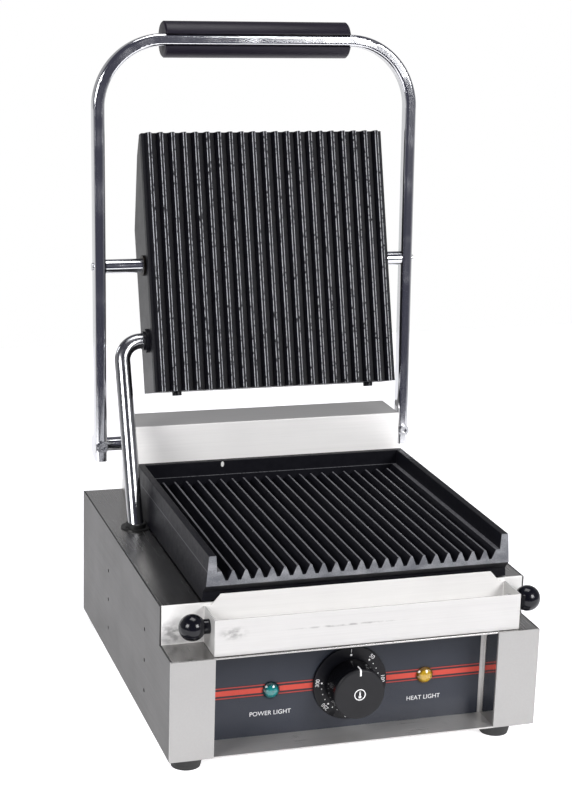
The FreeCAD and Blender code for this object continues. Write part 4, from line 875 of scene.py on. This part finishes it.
def islands(node):
    """The middle, the lowest corner and the highest corner of each separate solid of a frame part."""
    bm = bmesh.new()
    bm.from_mesh(nodes[node].data)
    bmesh.ops.remove_doubles(bm, verts=bm.verts, dist=WELD)
    left = set(bm.verts)
    found = []
    while left:
        stack = [left.pop()]
        members = []
        while stack:
            vert = stack.pop()
            members.append(vert.co.copy())
            for edge in vert.link_edges:
                other = edge.other_vert(vert)
                if other in left:
                    left.remove(other)
                    stack.append(other)
        low = Vector(tuple(min(point[axis] for point in members) for axis in range(3)))
        high = Vector(tuple(max(point[axis] for point in members) for axis in range(3)))
        found.append(((low + high) / 2, low, high))
    bm.free()
    return found


def crosses(name, node, facing, size):
    """Crosses on the heads of a part's screws, which face one way. Returns how many."""
    bm = bmesh.new()
    turn = Vector((0, 0, 1)).rotation_difference(facing).to_matrix().to_4x4()
    screws = islands(node)
    for middle, low, high in screws:
        head = Vector(tuple(high[axis] if facing[axis] > 0.5 else low[axis] if facing[axis] < -0.5
                            else middle[axis] for axis in range(3)))
        place = Matrix.Translation(head + facing * INK) @ turn
        for wide, tall in ((size, size * BAR_SHARE), (size * BAR_SHARE, size)):
            bmesh.ops.create_grid(bm, x_segments=1, y_segments=1, size=0.5,
                                  matrix=place @ Matrix.Diagonal((wide, tall, 1, 1)))
    mesh = bpy.data.meshes.new(name)
    bm.to_mesh(mesh)
    bm.free()
    add_piece(name, mesh, bodies[node], slots[node], shadow)
    return len(screws)


behind = crosses("rear_screw_recesses", "rear_panel_screws", Vector((0, 1, 0)), REAR_CROSS)
beneath = crosses("foot_screw_recesses", "foot_screws", Vector((0, 0, -1)), FOOT_CROSS)
print("crosses on", behind, "rear screws and", beneath, "foot screws")

# %% [markdown]
# ## The floor
# The grill stands on a white sheet. A floor that only the lamps light would go grey towards its edge, so
# this one glows a little as well and stays white behind the grill. It ends in front, and that dark edge
# is what the chrome reflects low down.

# %% Floor
FLOOR_FRONT = 0.75
FLOOR_HALF = 0.95


def floor():
    """A white sheet that ends a little in front of the grill, where a table would."""
    bm = bmesh.new()
    bmesh.ops.create_grid(bm, x_segments=1, y_segments=1, size=FLOOR_HALF)
    bmesh.ops.translate(bm, verts=bm.verts, vec=(0, FLOOR_HALF - FLOOR_FRONT, 0))
    mesh = bpy.data.meshes.new("floor")
    bm.to_mesh(mesh)
    bm.free()
    ground = bpy.data.objects.new("floor", mesh)
    bpy.context.scene.collection.objects.link(ground)
    white = Finish("floor_white", {"Base Color": (0.93, 0.92, 0.94, 1), "Roughness": 0.7,
                                   "Emission Color": (1, 1, 1, 1), "Emission Strength": 0.62})
    mesh.materials.append(white.material)


floor()
print("floor ends", FLOOR_FRONT, "m in front")

# %% [markdown]
# ## Lights and the room
# Three soft boxes light the grill: one at each side of the camera and a wide one above. Steel and chrome
# show the room more than the lamps, so reflections see a room: white below the horizon behind, grey
# behind and at the right, and nearly black in front and overhead. The camera itself sees plain white
# instead. One grey all round would be simpler, and would leave the chrome without its dark stripes.

# %% Lights
SOFT_SIDE, SOFT_TOP = (0.7, 0.7), (1.3, 1.0)


def panel(name, place, target, size, power):
    """A soft box that faces a point."""
    light = bpy.data.lights.new(name, "AREA")
    light.shape = "RECTANGLE"
    light.size, light.size_y = size
    light.energy = power
    lamp = bpy.data.objects.new(name, light)
    lamp.location = place
    lamp.rotation_euler = (Vector(target) - Vector(place)).to_track_quat("-Z", "Y").to_euler()
    bpy.context.scene.collection.objects.link(lamp)


panel("soft_left", (-1.45, -0.85, 0.95), (0, 0, 0.2), SOFT_SIDE, 20)
panel("soft_right", (0.85, -1.45, 0.95), (0, 0, 0.2), SOFT_SIDE, 24)
panel("soft_top", (0.1, 0.1, 2.3), (0, 0, 0.1), SOFT_TOP, 22)
print(len(bpy.data.lights), "soft boxes")


def surroundings():
    """The room that reflections see, and the white that the camera sees instead."""
    world = bpy.data.worlds.new("studio")
    bpy.context.scene.world = world
    world.use_nodes = True
    room = Graph(world.node_tree)
    room.tree.nodes.clear()
    heading = room.node("ShaderNodeTexCoord", {}, {}, "Generated")
    x, y, z = (room.axis(name, heading) for name in "XYZ")
    behind = y.rise(-0.15, 0.55) * (1 - z.rise(0.30, 0.85))
    below = (1 - z.rise(-0.12, 0.0)) * y.rise(-0.5, 0.1)
    beside = (1 - y.rise(-0.2, 0.4)) * x.rise(0.3, 0.9)
    colour = room.mix(behind, (0.070, 0.070, 0.098, 1), (0.42, 0.42, 0.43, 1))
    colour = room.mix(beside * 0.5, colour, (0.4, 0.4, 0.42, 1))
    colour = room.mix(below, colour, (0.9, 0.9, 0.9, 1))
    seen = room.node("ShaderNodeBackground", {}, {"Color": (1, 1, 1, 1)})
    felt = room.node("ShaderNodeBackground", {}, {"Color": colour})
    looking = room.node("ShaderNodeLightPath", {}, {}, "Is Camera Ray")
    both = room.node("ShaderNodeMixShader", {}, {0: looking, 1: felt, 2: seen})
    room.node("ShaderNodeOutputWorld", {}, {"Surface": both})


surroundings()
print("room:", bpy.context.scene.world.name)

# %% [markdown]
# ## Camera
# The view is through a long lens from the left, a little above the lid, with a slight roll. A camera could
# be aimed with a constraint, but three angles say the same in plain numbers. Its place is counted from
# the front of the posts, on the middle of the base.

# %% Camera
FRAME_WIDTH = 572
SENSOR = 36.0
FOCAL = 118.16
AIM = (17.84, -15.47, 1.80)
STAND = Vector((-0.45356, -1.21421, 0.61559))
SHIFT = (-1.66 / FRAME_WIDTH, 10.84 / FRAME_WIDTH)


def camera():
    """A camera at its stand, turned by a yaw, a pitch and a roll."""
    _, right_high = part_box("right_side_panel")
    datum = Vector(((post_low.x + right_high.x) / 2, post_low.y, post_low.z))
    yaw, pitch, roll = (math.radians(angle) for angle in AIM)
    forward = Vector((math.sin(yaw) * math.cos(pitch), math.cos(yaw) * math.cos(pitch), math.sin(pitch)))
    right = Vector((math.cos(yaw), -math.sin(yaw), 0))
    up = right.cross(forward)
    turned_right = right * math.cos(roll) + up * math.sin(roll)
    turned_up = up * math.cos(roll) - right * math.sin(roll)
    data = bpy.data.cameras.new("view")
    data.sensor_fit = "HORIZONTAL"
    data.sensor_width = SENSOR
    data.lens = FOCAL
    data.shift_x, data.shift_y = SHIFT
    data.clip_end = 50
    seat = bpy.data.objects.new("view", data)
    axes = Matrix((turned_right, turned_up, -forward)).transposed().to_4x4()
    seat.matrix_world = Matrix.Translation(datum + STAND) @ axes
    bpy.context.scene.collection.objects.link(seat)
    bpy.context.scene.camera = seat


camera()
bpy.context.scene.view_settings.view_transform = "Standard"
print("camera at", [round(part, 3) for part in bpy.context.scene.camera.matrix_world.translation])
